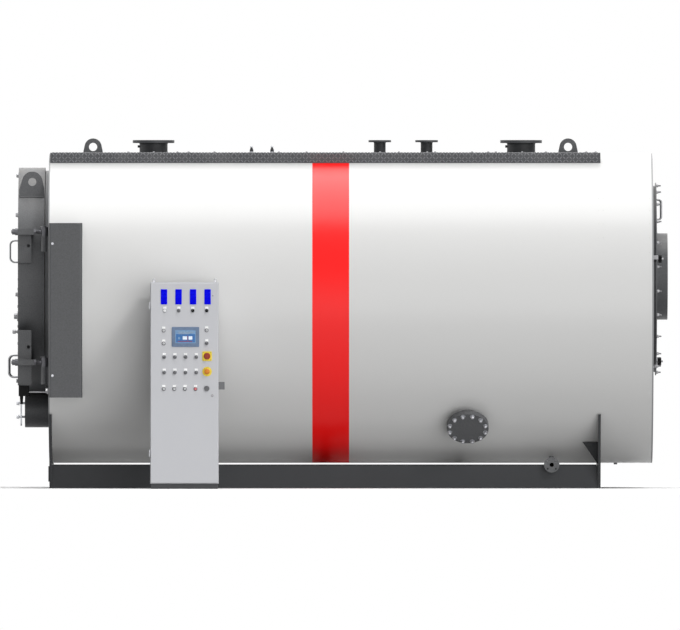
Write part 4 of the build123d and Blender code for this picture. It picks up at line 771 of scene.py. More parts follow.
class BOILER_OT_casing(bpy.types.Operator):
    """Paint the casing and set the rivets and the lap strip of its sheets"""
    bl_idname = "boiler.casing"
    bl_label = "Casing"

    seams = (-2.638, 2.645, 2.689, 3.135)
    lap_from, lap_to, lap_angle = -2.655, 3.152, 101.0
    strip_radius = DRUM_R + 0.0012

    def execute(self, context):
        dress("casing_white", "casing_front_course", "casing_rear_course", "smokebox_casing")
        dress("band_red", "casing_band")
        dress("end_plate", "front_end_plate", "rear_end_plate")
        self.rivets()
        self.lap_strip()
        return {"FINISHED"}

    def rivets(self):
        """Rivets along the lap, and round the seams where the walkway leaves them free."""
        width = hardware().rivet
        work = Metalwork()
        for x in self.seams:
            for degrees in range(3, 360, 6):
                if min(degrees, 360 - degrees) > 24 or x > 2.66:
                    work.rivet(on_drum(x, degrees, DRUM_R), out_of_drum(degrees), width)
        for i in range(39):
            x = self.lap_from + 0.05 + 0.148 * i
            for degrees in (self.lap_angle - 1, self.lap_angle + 1):
                work.rivet(on_drum(x, degrees, self.strip_radius), out_of_drum(degrees), width)
        work.make("casing_rivets", "boiler", "casing_white", ["casing_white"])

    def lap_strip(self):
        """The strip over the lap, red where it crosses the band."""
        section = [on_drum(0, self.lap_angle - 1.6 + 0.4 * i, self.strip_radius) for i in range(9)]
        section += [on_drum(0, self.lap_angle + 1.6 - 0.4 * i, DRUM_R - 0.002) for i in range(9)]
        count = len(section)
        band_from, band_to = (corner[0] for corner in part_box("casing_band"))
        strip = Metalwork()
        parts = ((0, self.lap_from, band_from), (1, band_from, band_to), (0, band_to, self.lap_to))
        for mark, start, stop in parts:
            strip.mark = mark
            points = [Vector((x, p.y, p.z)) for x in (start, stop) for p in section]
            faces = [list(range(count)), list(range(2 * count - 1, count - 1, -1))]
            faces += [[i, (i + 1) % count, count + (i + 1) % count, count + i] for i in range(count)]
            strip.add(points, faces)
        strip.make("casing_lap_strip", "boiler", "casing_white", ["casing_white", "band_red"])


class BOILER_OT_walkway(bpy.types.Operator):
    """Roll the lozenges of the folded tread plate and set its hold-down bolts"""
    bl_idname = "boiler.walkway"
    bl_label = "Walkway"

    crown_bolts = (-1905, -1659, -1429, -1322, -1070, -446, -179, 179, 533, 717, 989, 1067, 1425, 1581,
                   1654, 1908, 2140, 2531, 2623)
    bolt_row = 0.47
    end_margin, edge_margin, skirt_margin = 0.03, 0.012, 0.018
    skirt_rows = 3
    bare_spots = ((WATER_NOZZLES, 0.225), (SAFETY_NOZZLES, 0.135), (SENSOR_POCKETS, 0.04),
                  (LIFTING_LUGS, 0.11))

    def execute(self, context):
        dress("tread", "walkway_plate")
        pitch = hardware().lozenge_pitch
        low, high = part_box("walkway_plate")
        edge, top = high[1], high[2]
        bare = [(x, reach) for places, reach in self.bare_spots for x in places]
        columns = int((high[0] - low[0] - self.end_margin) / pitch)
        rows = int((edge - self.edge_margin) / pitch)
        work = Metalwork()
        for column in range(columns):
            x = low[0] + self.end_margin + pitch * column
            for row in range(-rows, rows + 1):
                if all(hypot(x - middle, pitch * row) > reach for middle, reach in bare):
                    self.lozenge(work, at((x, pitch * row, top), UP), row + column)
            for row in range(self.skirt_rows):
                z = top - self.skirt_margin - pitch * row
                self.lozenge(work, facing((x, -edge, z)), row + column)
                self.lozenge(work, Matrix.Rotation(pi, 4, "Z") @ facing((-x, -edge, z)), row + column)
        # The lozenges' lighter finish is painted highlight
        work.make("walkway_lozenges", "boiler", "plate_grey", ["lozenge"], sharp=20)
        bolts = Metalwork()
        for x in self.crown_bolts:
            for side in (-self.bolt_row, self.bolt_row):
                bolts.bolt((x / 1000, side, top), UP, 0.018, 0.6)
        bolts.make("walkway_bolts", "boiler", "zinc", ["steel"])
        return {"FINISHED"}

    def lozenge(self, work, place, turn):
        """One raised lozenge, leaning left or right by turns."""
        sizes = hardware()
        half, wide = sizes.lozenge_length / 2, sizes.lozenge_width / 2
        lean = Matrix.Rotation(radians(45 if turn % 2 else -45), 4, "Z")
        points = []
        for share, thin, height in ((1.0, 1.0, -0.0006), (0.66, 0.3, sizes.lozenge_height)):
            for u, v in ((1, 0), (0.4, 1), (-0.4, 1), (-1, 0), (-0.4, -1), (0.4, -1)):
                points.append(place @ lean @ Vector((u * half * share, v * wide * thin, height)))
        faces = [[6, 7, 8, 9, 10, 11]]
        faces += [[i, (i + 1) % 6, 6 + (i + 1) % 6, 6 + i] for i in range(6)]
        work.add(points, faces)


class BOILER_OT_top_fittings(bpy.types.Operator):
    """Paint and weld the lugs, nozzles and sensor pockets on the drum's top"""
    bl_idname = "boiler.top_fittings"
    bl_label = "Top fittings"

    def execute(self, context):
        dress("door_grey", "lifting_lugs")
        dress("nozzle_grey", "water_nozzles", "safety_valve_nozzles", "sensor_pockets")
        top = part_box("walkway_plate")[1][2]
        work = Metalwork()
        leg = hardware().weld
        for places, radius in ((WATER_NOZZLES, 0.1365), (SAFETY_NOZZLES, 0.057)):
            for x in places:
                arc_bead(work, (x, 0, top), radius + 0.001, leg * 0.9, UP, int(2 * pi * radius / 0.012))
        for x in LIFTING_LUGS:
            for side in (-0.017, 0.017):
                line_bead(work, (x - 0.092, side, top), (x + 0.092, side, top), leg * 0.8)
        work.make("top_welds", "boiler", "door_grey", ["weld"])
        plugs = Metalwork()
        for x in SENSOR_POCKETS:
            plugs.lathe(at((x, 0, 3.3005), UP), [
                (0, 0), (0.0135, 0, 6), (0.0135, 0.009, 6), (0.0115, 0.012), (0.005, 0.012), (0.005, 0.016),
                (0.0035, 0.0185), (0, 0.0185)])
            plugs.lathe(at((x, 0, 3.252), UP), [
                (0.0185, 0), (0.0205, 0.002), (0.0205, 0.004), (0.0185, 0.006)], 16)
        plugs.make("sensor_plugs", "boiler", "steel", ["bright"])
        return {"FINISHED"}


class BOILER_OT_handhole(bpy.types.Operator):
    """Bolt the round inspection cover low on the near side"""
    bl_idname = "boiler.handhole"
    bl_label = "Handhole"

    axis_angle = -136.0
    face_radius, bolt_circle = 1.620, 0.1775

    def execute(self, context):
        dress("door_grey", "handhole_nozzle", "handhole_cover")
        out = out_of_drum(self.axis_angle)
        place = at(on_drum(1.378, self.axis_angle, self.face_radius), out)
        nuts = Metalwork()
        for i in range(12):
            turn = radians(15 + 30 * i)
            nuts.stud(place @ polar(self.bolt_circle, turn), out, hardware().handhole_nut, 0.032, turn)
        nuts.make("handhole_nuts", "boiler", "zinc", ["bright"])
        return {"FINISHED"}


class BOILER_OT_skid(bpy.types.Operator):
    """Paint the skid and lay the welds of its saddles and beams"""
    bl_idname = "boiler.skid"
    bl_label = "Skid"

    def execute(self, context):
        dress("skid_grey", "skid_rails", "cross_beams", "saddle_plates")
        work = Metalwork()
        leg = hardware().weld
        for x in (-2.64, 2.64):
            for y in (-0.902, 0.902):
                line_bead(work, (x, y, 0.004), (x, y, 0.214), leg * 0.7)
        for x in (-1.35, -0.05, 1.25):
            for y in (-0.82, 0.82):
                for edge in (0.0, 0.1):
                    line_bead(work, (x + edge, y, 0.012), (x + edge, y, 0.19), leg * 0.5)
        work.make("skid_welds", "boiler", "skid_grey", ["skid_weld"])
        return {"FINISHED"}


class BOILER_OT_front_door(bpy.types.Operator):
    """Paint the front door and set its closing bolts, burner bolts, nipple, sight glass and welds"""
    bl_idname = "boiler.front_door"
    bl_label = "Front door"

    closing_angles = (11.0, 52.6, 98.0, 162.0)
    closing_circle, burner_circle = 1.03, 0.372

    def execute(self, context):
        dress("door_grey", "door_shell", "burner_plate", "door_lifting_lugs")
        dress("refractory", "door_lining")
        dress("black", "door_limit_switch")
        dress("steel", "sight_glass", "door_handles")
        sizes = hardware()
        bolts = Metalwork()
        for degrees in self.closing_angles:
            for side in (-1, 1):
                turn = radians(side * degrees)
                out = Vector((0, sin(turn), cos(turn)))
                point = Vector((DOOR_FACE, 0, DOOR_Z)) + self.closing_circle * out
                bolts.bolt(point, FORWARD, sizes.door_bolt, 0.56, turn)
        for point in ring_places(DOOR_FACE, BURNER_Z, self.burner_circle, 12, 15):
            bolts.bolt(point, FORWARD, sizes.burner_bolt, 0.42)
        bolts.make("door_bolts", "front_door", "door_grey", ["steel"])
        nipple = Metalwork()
        nipple.lathe(at((DOOR_FACE, -0.64, 1.512), FORWARD), [
            (0, -0.002), (0.024, -0.002), (0.024, 0.003), (0.0175, 0.008), (0.0135, 0.012), (0.0135, 0.026),
            (0.0175, 0.026, 6), (0.0175, 0.052, 6), (0.0155, 0.057), (0, 0.057)])
        nipple.make("door_test_nipple", "front_door", "steel", ["steel"])
        glass = Metalwork()
        glass.lathe(at((-3.010, -0.56, 1.662), FORWARD), [(0, 0.0012), (0.022, 0.0012), (0.024, -0.001)], 24)
        glass.make("sight_glass_window", "front_door", "steel", ["sight"])
        work = Metalwork()
        leg = sizes.weld
        for y in (-0.725, 0.725):
            for side in (-0.0135, 0.0135):
                edge = y + side
                height = DOOR_Z + sqrt(1.087 ** 2 - edge ** 2) + 0.001
                line_bead(work, (-2.955, edge, height), (-2.719, edge, height), leg * 0.8)
        arc_bead(work, (DOOR_FACE + 0.001, 0, BURNER_Z), 0.3985, 0.004, FORWARD, 210)
        work.make("door_welds", "front_door", "door_grey", ["weld"])
        return {"FINISHED"}


class BOILER_OT_hinge(bpy.types.Operator):
    """Finish the eye-bolt hinge with its threads, split pins and welds, and the switch with its striker"""
    bl_idname = "boiler.hinge"
    bl_label = "Hinge"

    shank_y = -1.18
    shank_heights = (2.478, 1.217)

    def execute(self, context):
        dress("door_grey", "door_hinge_brackets", "hinge_posts")
        dress("dark_steel", "hinge_eye_bolts")
        threads, pins, welds = Metalwork(), Metalwork(), Metalwork()
        y = self.shank_y
        for z in self.shank_heights:
            profile = [(0.0165, 0.0)]
            for turn in range(9):
                profile += [(0.0182, 0.001 + 0.0042 * turn), (0.0165, 0.0031 + 0.0042 * turn)]
            threads.lathe(at((-2.7905, y, z), REARWARD), profile, 24)
            threads.lathe(at((-3.0215, y, z), FORWARD), [
                (0.0172, 0), (0.0172, 0.004), (0.0145, 0.0085), (0, 0.0085)], 24)
            height = z + 0.051
            pins.sweep([(-2.676, y, height), (-2.742, y, height), (-2.746, y - 0.004, height),
                        (-2.748, y - 0.012, height)], 0.003, 8)
            # The upper bracket's flange hangs below its shank, so it has the lower bead only
            sides = (-0.0285,) if z > DOOR_Z else (-0.0285, 0.0285)
            for side in sides:
                line_bead(welds, (-2.958, -1.1115, z + side), (-2.845, -1.1115, z + side), 0.006)
        threads.make("hinge_threads", "front_door", "steel", ["dark_steel"])
        pins.make("hinge_split_pins", "boiler", "steel", ["steel"])
        welds.make("hinge_welds", "front_door", "door_grey", ["weld"])
        striker = Metalwork()
        foot = at((-2.672, -1.102, 0.94), FORWARD)
        striker.slab(foot, rounded(0.05, 0.06, 0.004, 3), -0.002, 0.012, 0.002)
        striker.sweep([(-2.664, -1.102, 0.930), (-2.8565, -1.102, 0.930)], 0.0075, 12)
        striker.lathe(at((-2.684, -1.102, 0.930), FORWARD), [
            (0, 0), (0.012, 0, 6), (0.012, 0.009, 6), (0.010, 0.0105), (0, 0.0105)])
        striker.make("limit_switch_striker", "boiler", "steel", ["steel"])
        return {"FINISHED"}


class BOILER_OT_hinge_cover(bpy.types.Operator):
    """Paint the sheet cover behind the hinge and set its bright screws"""
    bl_idname = "boiler.hinge_cover"
    bl_label = "Hinge cover"

    def execute(self, context):
        dress("cover_grey", "hinge_cover")
        work = Metalwork()
        for z in (2.363, 1.088):
            work.bolt((-2.629, -1.56, z), NEAR, 0.016, 0.5)
        work.make("hinge_cover_bolts", "boiler", "zinc", ["bright"])
        return {"FINISHED"}


class BOILER_OT_tube_plate(bpy.types.Operator):
    """Weld the smoke tubes into the tube plates and darken the gas side"""
    bl_idname = "boiler.tube_plate"
    bl_label = "Tube plate"

    first_ring, tube_pitch, field_radius = 0.577, 0.125, 0.917

    def execute(self, context):
        dress("fired_steel", "front_tube_plate", "furnace_tube", "rear_tube_plate", "smoke_tubes")
        dress("ring_grey", "front_ring")
        work = Metalwork()
        for ring in range(6):
            reach = self.first_ring + self.tube_pitch * ring
            count = 2 * int(pi * reach / self.tube_pitch)
            for i in range(count):
                turn = 2 * pi * (i + ring % 2 / 2) / count
                y, z = reach * sin(turn), BURNER_Z + reach * cos(turn)
                if hypot(y, z - DOOR_Z) < self.field_radius:
                    for x, along in ((-2.6605, FORWARD), (2.6675, REARWARD)):
                        work.lathe(at((x, y, z), along), [
                            (0.0385, 0.004), (0.0425, 0.0035), (0.0455, 0.0), (0.0385, -0.001)], 16, True)
        arc_bead(work, (-2.661, 0, BURNER_Z), 0.494, 0.007, FORWARD, 200)
        work.make("tube_welds", "boiler", "firebox_steel", ["fired_steel"])
        return {"FINISHED"}


class BOILER_OT_manhole(bpy.types.Operator):
    """Coat the oval manhole under the door and fit its nuts"""
    bl_idname = "boiler.manhole"
    bl_label = "Manhole"

    def execute(self, context):
        dress("cover_grey", "manhole_neck")
        dress("zinc", "manhole_cover")
        work = Metalwork()
        for z in (0.686, 0.818):
            work.stud((-2.967, 0, z), FORWARD, 0.03, 0.0225)
        work.make("manhole_nuts", "boiler", "zinc", ["bright"])
        return {"FINISHED"}


class BOILER_OT_rear(bpy.types.Operator):
    """Stud the rear cover and fit the knobs, hooks and straps of its clamps"""
    bl_idname = "boiler.rear"
    bl_label = "Rear cover"

    stud_circle, clamp_circle = 0.912, 0.895
    clamp_angles = (12.5, 167.5, -63.0, 243.0)

    def execute(self, context):
        dress("door_grey", "rear_cover")
        dress("cover_grey", "flue_spigot")
        dress("steel", "rear_cover_fittings")
        work = Metalwork()
        for point in ring_places(REAR_FACE, REAR_Z, self.stud_circle, 24, 7.5):
            work.stud(point, REARWARD, hardware().rear_nut, 0.044)
        work.make("rear_studs", "boiler", "zinc", ["steel"])
        self.clamps()
        return {"FINISHED"}

    def clamps(self):
        """Each clamp's star knob, the hook over the cover's rim and the strap between them."""
        lobes = [2 * pi * i / 40 for i in range(40)]
        star = [polar(0.036 + 0.0045 * cos(5 * turn), turn).xy for turn in lobes]
        knobs, hooks = Metalwork(), Metalwork()
        for degrees in self.clamp_angles:
            turn = radians(degrees)
            out = Vector((0, cos(turn), sin(turn)))
            across = REARWARD.cross(out)
            centre = Vector((REAR_FACE, 0, REAR_Z)) + self.clamp_circle * out
            knobs.slab(at(centre, REARWARD), star, 0.0112, 0.0458, 0.004)
            rim = framed(centre + 0.0405 * out - 0.014 * REARWARD, across, REARWARD, out)
            hooks.slab(rim, rounded(0.04, 0.050, 0.004, 3), 0.0, 0.024, 0.003)
            strap = framed(centre + 0.010 * out, across, out, REARWARD)
            hooks.slab(strap, rounded(0.04, 0.100, 0.006, 3), -0.0005, 0.0112, 0.002)
        knobs.make("rear_clamp_knobs", "boiler", "black_plastic", ["black"])
        hooks.make("rear_clamp_hooks", "boiler", "zinc", ["steel"])


class BOILER_OT_drains(bpy.types.Operator):
    """Paint the drain pipes"""
    bl_idname = "boiler.drains"
    bl_label = "Drains"

    def execute(self, context):
        dress("door_grey", "drain_pipes")
        return {"FINISHED"}


class BOILER_OT_cabinet(bpy.types.Operator):
    """Coat the control cabinet and fit its eyebolts and the gear inside"""
    bl_idname = "boiler.cabinet"
    bl_label = "Cabinet"

    def execute(self, context):
        dress("cabinet_grey", "cabinet_shell", "cabinet_door_panel")
        dress("plinth_grey", "cabinet_plinth")
        dress("box_grey", "cabinet_side_box")
        dress("rubber", "cabinet_door_gasket")
        dress("zinc", "cabinet_mounting_plate")
        dress("cabinet_grey", "cabinet_hinge_pins", "cabinet_door_hinges")
        work = Metalwork()
        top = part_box("cabinet_shell")[1][2]
        turns = [pi * i / 10 for i in range(20)]
        for x in (-1.649, -1.057):
            for y in (-1.950, -1.630):
                place = at((x, y, top), UP)
                work.lathe(place, [
                    (0, 0), (0.015, 0), (0.015, 0.003), (0.0095, 0.005), (0.008, 0.009), (0, 0.009)], 16)
                eye = [place @ Vector((0.0115 * cos(turn), 0, 0.021 + 0.0125 * sin(turn))) for turn in turns]
                work.sweep(eye, 0.0038, 8, True)
        work.make("cabinet_eyebolts", "boiler", "zinc", ["bright"])
        self.gear()
        return {"FINISHED"}

    def gear(self):
        """Ducts, rails and switchgear on the mounting plate."""
        work = Metalwork()
        base = facing((-1.354, -1.632, 0.0))

        def block(mark, u, v, width, height, depth, low=-0.0005, corner=0.002):
            work.mark = mark
            place = base @ Matrix.Translation((u, v, 0))
            work.slab(place, rounded(width, height, corner, 2), low, depth, 0.001)

        for v in (1.885, 1.565, 1.245, 0.925, 0.285):
            block(1, 0, v, 0.480, 0.036, 0.05)
            block(0, 0, v, 0.480, 0.042, 0.064, 0.058)
            for i in range(38):
                block(0, -0.2345 + 0.01268 * i, v, 0.0085, 0.041, 0.0585)
        for u in (-0.2615, 0.2615):
            block(1, u, 1.085, 0.036, 1.64, 0.05)
            block(0, u, 1.085, 0.042, 1.64, 0.064, 0.058)
            for i in range(129):
                block(0, u, 0.273 + 0.01268 * i, 0.041, 0.0085, 0.0585)
        for v in (1.725, 1.405, 1.085, 0.605):
            block(2, 0, v, 0.478, 0.035, 0.0075)
        block(3, -0.175, 1.725, 0.10, 0.14, 0.085)
        block(1, -0.175, 1.725, 0.045, 0.06, 0.096, 0.08)
        for i in range(13):
            block(4, -0.1 + 0.0255 * i, 1.725, 0.0235, 0.085, 0.06)
            block(4, -0.1 + 0.0255 * i, 1.725, 0.0235, 0.045, 0.07)
            block(1, -0.1 + 0.0255 * i, 1.73, 0.012, 0.016, 0.08, 0.069)
        for i in range(8):
            block(3, -0.2035 + 0.058 * i, 1.415, 0.047, 0.078, 0.082)
            block(1, -0.2035 + 0.058 * i, 1.415, 0.038, 0.034, 0.092, 0.08)
            block(4, -0.2035 + 0.058 * i, 1.345, 0.045, 0.05, 0.07)
        block(4, -0.12, 1.085, 0.22, 0.11, 0.07)
        block(3, -0.12, 1.085, 0.19, 0.03, 0.078, 0.069)
        for i in range(10):
            block(4, 0.02 + 0.0225 * i, 1.085, 0.0195, 0.088, 0.062)
            block(5, 0.02 + 0.0225 * i, 1.098, 0.012, 0.02, 0.068, 0.06)
        for i in range(68):
            block(5 if i % 9 == 8 else 4, -0.2278 + 0.0068 * i, 0.605, 0.0062, 0.052, 0.046, corner=0.001)
            block(1, -0.2278 + 0.0068 * i, 0.605, 0.003, 0.03, 0.0466, 0.045, 0.001)
        work.make("cabinet_gear", "boiler", "box_grey",
                  ["duct_grey", "black", "zinc", "knob_grey", "white_plastic", "terminal_blue"])


class BOILER_OT_instruments(bpy.types.Operator):
    """Fit the displays, screen, lamps, switches and legend plates of the cabinet door, and their backs"""
    bl_idname = "boiler.instruments"
    bl_label = "Instruments"

    display_places = [(-1.55 + 0.14 * i, 1.849) for i in range(4)]
    screen_place = (-1.343, 1.463)
    key_places = [(-1.543 + 0.135 * i, 1.716) for i in range(4)]
    lamp_places = [(-1.553, 1.524), (-1.553, 1.400), (-1.139, 1.526)]
    lamp_places += [(-1.553 + 0.102 * i, 0.962) for i in range(4)]
    switch_places = [(-1.548 + 0.103 * i, z) for z in (1.269, 1.120) for i in range(4)]
    switch_places += [(-1.139, 1.402)]
    device_places = key_places + lamp_places + switch_places
    main_place = (-1.135, 1.278)
    stop_place = (-1.135, 1.129)
    digit_strokes = ((0, 0.009, 0.007, 0.0016), (0, 0, 0.007, 0.0016), (0, -0.009, 0.007, 0.0016),
                     (0.005, 0.0045, 0.0016, 0.007), (-0.005, -0.0045, 0.0016, 0.007))
    screen_tiles = ((1, 0, 0.002, 0.196, 0.124), (2, 0, -0.012, 0.182, 0.080),
                    (3, -0.006, -0.010, 0.042, 0.032), (3, 0.048, -0.010, 0.036, 0.032),
                    (1, -0.062, -0.012, 0.020, 0.022),
                    (4, 0.021, -0.012, 0.006, 0.052), (4, -0.004, -0.043, 0.140, 0.008),
                    (5, 0.004, 0.046, 0.150, 0.006), (5, -0.012, 0.030, 0.110, 0.005))

    def execute(self, context):
        self.displays()
        self.screen()
        self.lamps()
        self.selectors()
        self.stops()
        self.legends()
        self.backs()
        return {"FINISHED"}

    def spot(self, place, right=0.0, up=0.0, out=0.0):
        """A place on the door's face, moved by distances to the right, up and out."""
        return facing((place[0] + right, PANEL_FACE - out, place[1] + up))

    def displays(self):
        work = Metalwork()
        for centre in self.display_places:
            work.mark = 0
            work.slab(self.spot(centre), rounded(0.062, 0.146, 0.005), 0.0, 0.006, 0.0015)
            work.mark = 1
            for row in range(2):
                for digit in range(3):
                    right, up = -0.016 + 0.016 * digit, 0.038 - 0.034 * row
                    for u, v, width, height in self.digit_strokes:
                        stroke = self.spot(centre, right + u, up + v, 0.006)
                        work.slab(stroke, rounded(width, height, 0.0006, 2), -0.0002, 0.0003)
            work.mark = 0
            for key in range(4):
                button = self.spot(centre, -0.018 + 0.012 * key, -0.052, 0.006)
                work.slab(button, rounded(0.009, 0.009, 0.002, 3), -0.0002, 0.0014, 0.0004)
        work.make("display_units", "cabinet_door", "display_blue", ["display", "display_digit"],
                  ["digital_displays"])

    def screen(self):
        work = Metalwork()
        work.slab(self.spot(self.screen_place), rounded(0.264, 0.192, 0.008), 0.0, 0.007, 0.002)
        for depth, (mark, u, v, width, height) in enumerate(self.screen_tiles):
            tile = self.spot(self.screen_place, u, v, 0.007)
            work.mark = mark
            work.slab(tile, rounded(width, height, 0.0024, 2), -0.0003, 0.0004 + 0.0003 * depth)
        tints = ["bezel", "screen_sky", "screen_blue", "screen_white", "screen_red", "screen_grey"]
        work.make("touch_panel", "cabinet_door", "display_blue", tints, ["touch_screen"])

    def lamps(self):
        work = Metalwork()
        for index, centre in enumerate(self.lamp_places):
            place = self.spot(centre)
            work.mark = 0
            work.lathe(place, [
                (0, 0), (0.0185, 0), (0.0185, 0.003), (0.0175, 0.005), (0.0145, 0.0056),
                (0.0135, 0.0045)], 24)
            work.mark = 2 if index == len(self.lamp_places) - 1 else 1
            work.lathe(place, [
                (0.0135, 0.003), (0.0135, 0.0085), (0.0125, 0.0105), (0.0095, 0.012), (0.009, 0.0114),
                (0.006, 0.0122), (0.0055, 0.0116), (0, 0.0122)], 24)
        work.make("lamp_units", "cabinet_door", "lamp_lens", ["dark_steel", "clear_lens", "red_lens"],
                  ["pilot_lamps"])

    def selectors(self):
        work = Metalwork()
        for index, centre in enumerate(self.key_places + self.switch_places):
            place = self.spot(centre)
            work.mark = 0
            work.lathe(place, [
                (0, 0), (0.0195, 0), (0.0195, 0.0025), (0.0185, 0.0055), (0.0155, 0.0065),
                (0.0145, 0.0055)], 24)
            if index == 0:
                work.mark = 2
                work.lathe(place, [(0.0145, 0.004), (0.0142, 0.0085), (0.0128, 0.0095), (0, 0.0088)], 24)
                continue
            work.mark = 1 if index in (2, 3) else 3
            work.lathe(place, [(0.0145, 0.004), (0.0142, 0.015), (0.0128, 0.0165), (0, 0.0165)], 24)
            lever = place @ Matrix.Rotation(radians(-35 if index % 2 else 35), 4, "Z")
            work.slab(lever, rounded(0.0082, 0.0275, 0.0025, 3), 0.012, 0.0222, 0.0012)
            work.mark = 2
            pointer = lever @ Matrix.Translation((0, 0.0085, 0))
            work.slab(pointer, rounded(0.0018, 0.008, 0.0006, 2), 0.02, 0.0224)
        work.make("selector_units", "cabinet_door", "black_plastic",
                  ["grey_plastic", "black", "white_plastic", "knob_grey"], ["selector_switches"])

    def stops(self):
        work = Metalwork()
        main = self.spot(self.main_place)
        work.slab(main, rounded(0.092, 0.092, 0.008), 0.0, 0.006, 0.0015)
        work.mark = 2
        for u in (-0.036, 0.036):
            for v in (-0.036, 0.036):
                work.screw(main @ Vector((u, v, 0.006)), NEAR, 0.007)
        work.mark = 1
        work.lathe(main, [
            (0, 0.004), (0.0325, 0.004), (0.0325, 0.012), (0.030, 0.0145), (0.0245, 0.0155), (0.0245, 0.026),
            (0.0225, 0.0285), (0, 0.0285)], 32)
        work.slab(main, rounded(0.015, 0.062, 0.005, 4), 0.012, 0.0355, 0.002)
        stop = self.spot(self.stop_place)
        work.mark = 0
        work.lathe(stop, [
            (0, 0), (0.046, 0), (0.046, 0.002), (0.045, 0.003), (0.022, 0.0042), (0.021, 0.010),
            (0, 0.010)], 40)
        work.mark = 3
        work.lathe(stop, [
            (0, 0.008), (0.0135, 0.008), (0.0145, 0.018), (0.026, 0.020), (0.0275, 0.024), (0.0262, 0.031),
            (0.021, 0.0365), (0.012, 0.0393), (0, 0.04)], 40)
        work.make("stop_units", "cabinet_door", "stop_yellow",
                  ["yellow", "red_knob", "dark_steel", "orange_knob"], ["stop_switches"])

    def legends(self):
        """Blank plates over the devices, the buzzer, the lock and a panel screw."""
        plates = Metalwork()
        for centre in self.device_places:
            place = self.spot(centre, up=0.0275)
            plates.slab(place, rounded(0.031, 0.021, 0.002, 3), -0.0005, 0.0026, 0.0006)
        plates.make("legend_plates", "cabinet_door", "casing_white", ["legend"])
        work = Metalwork()
        buzzer = self.spot((-1.138, 0.966))
        work.lathe(buzzer, [
            (0, 0), (0.0265, 0), (0.0265, 0.006), (0.0245, 0.012), (0.022, 0.014), (0.0205, 0.0125),
            (0.0165, 0.0125), (0.015, 0.0145), (0.0135, 0.0125), (0.0095, 0.0125), (0.008, 0.0145),
            (0.0065, 0.0125), (0, 0.0135)], 28)
        lock = self.spot((-1.084, 0.899))
        work.mark = 1
        work.lathe(lock, [
            (0, 0), (0.0145, 0), (0.0145, 0.003), (0.013, 0.005), (0.009, 0.0055), (0.0085, 0.002),
            (0, 0.002)], 24)
        work.slab(lock, rounded(0.003, 0.012, 0.001, 2), 0.001, 0.0045)
        work.screw((-1.080, PANEL_FACE, 1.860), NEAR, 0.014)
        work.make("cabinet_door_fittings", "cabinet_door", "black_plastic", ["buzzer_grey", "steel"])

    def backs(self):
        """What the devices show on the inside of the door."""
        work = Metalwork()
        shapes = [(place, 0.056, 0.136, 0.088, 0) for place in self.display_places]
        shapes += [(self.screen_place, 0.236, 0.164, 0.062, 0)]
        shapes += [(place, 0.029, 0.040, 0.066, 1) for place in self.device_places]
        shapes += [(place, 0.044, 0.048, 0.080, 0) for place in (self.main_place, self.stop_place)]
        for place, width, height, depth, mark in shapes:
            back = self.spot(place) @ Matrix.Rotation(pi, 4, "Y")
            work.mark = mark
            work.slab(back, rounded(width, height, 0.003, 3), 0.0215, depth, 0.002)
            collar = 0.022 + 0.4 * (depth - 0.022)
            work.slab(back, rounded(width + 0.008, height * 0.55, 0.002, 2), 0.0215, collar, 0.001)
            work.mark = 2
            for side in (-0.3, 0.3):
                for end in (-0.38, 0.38):
                    work.screw(back @ Vector((side * width, end * height, depth)), FAR, 0.006)
        work.make("instrument_backs", "cabinet_door", "black_plastic", ["black", "grey_plastic", "bright"])


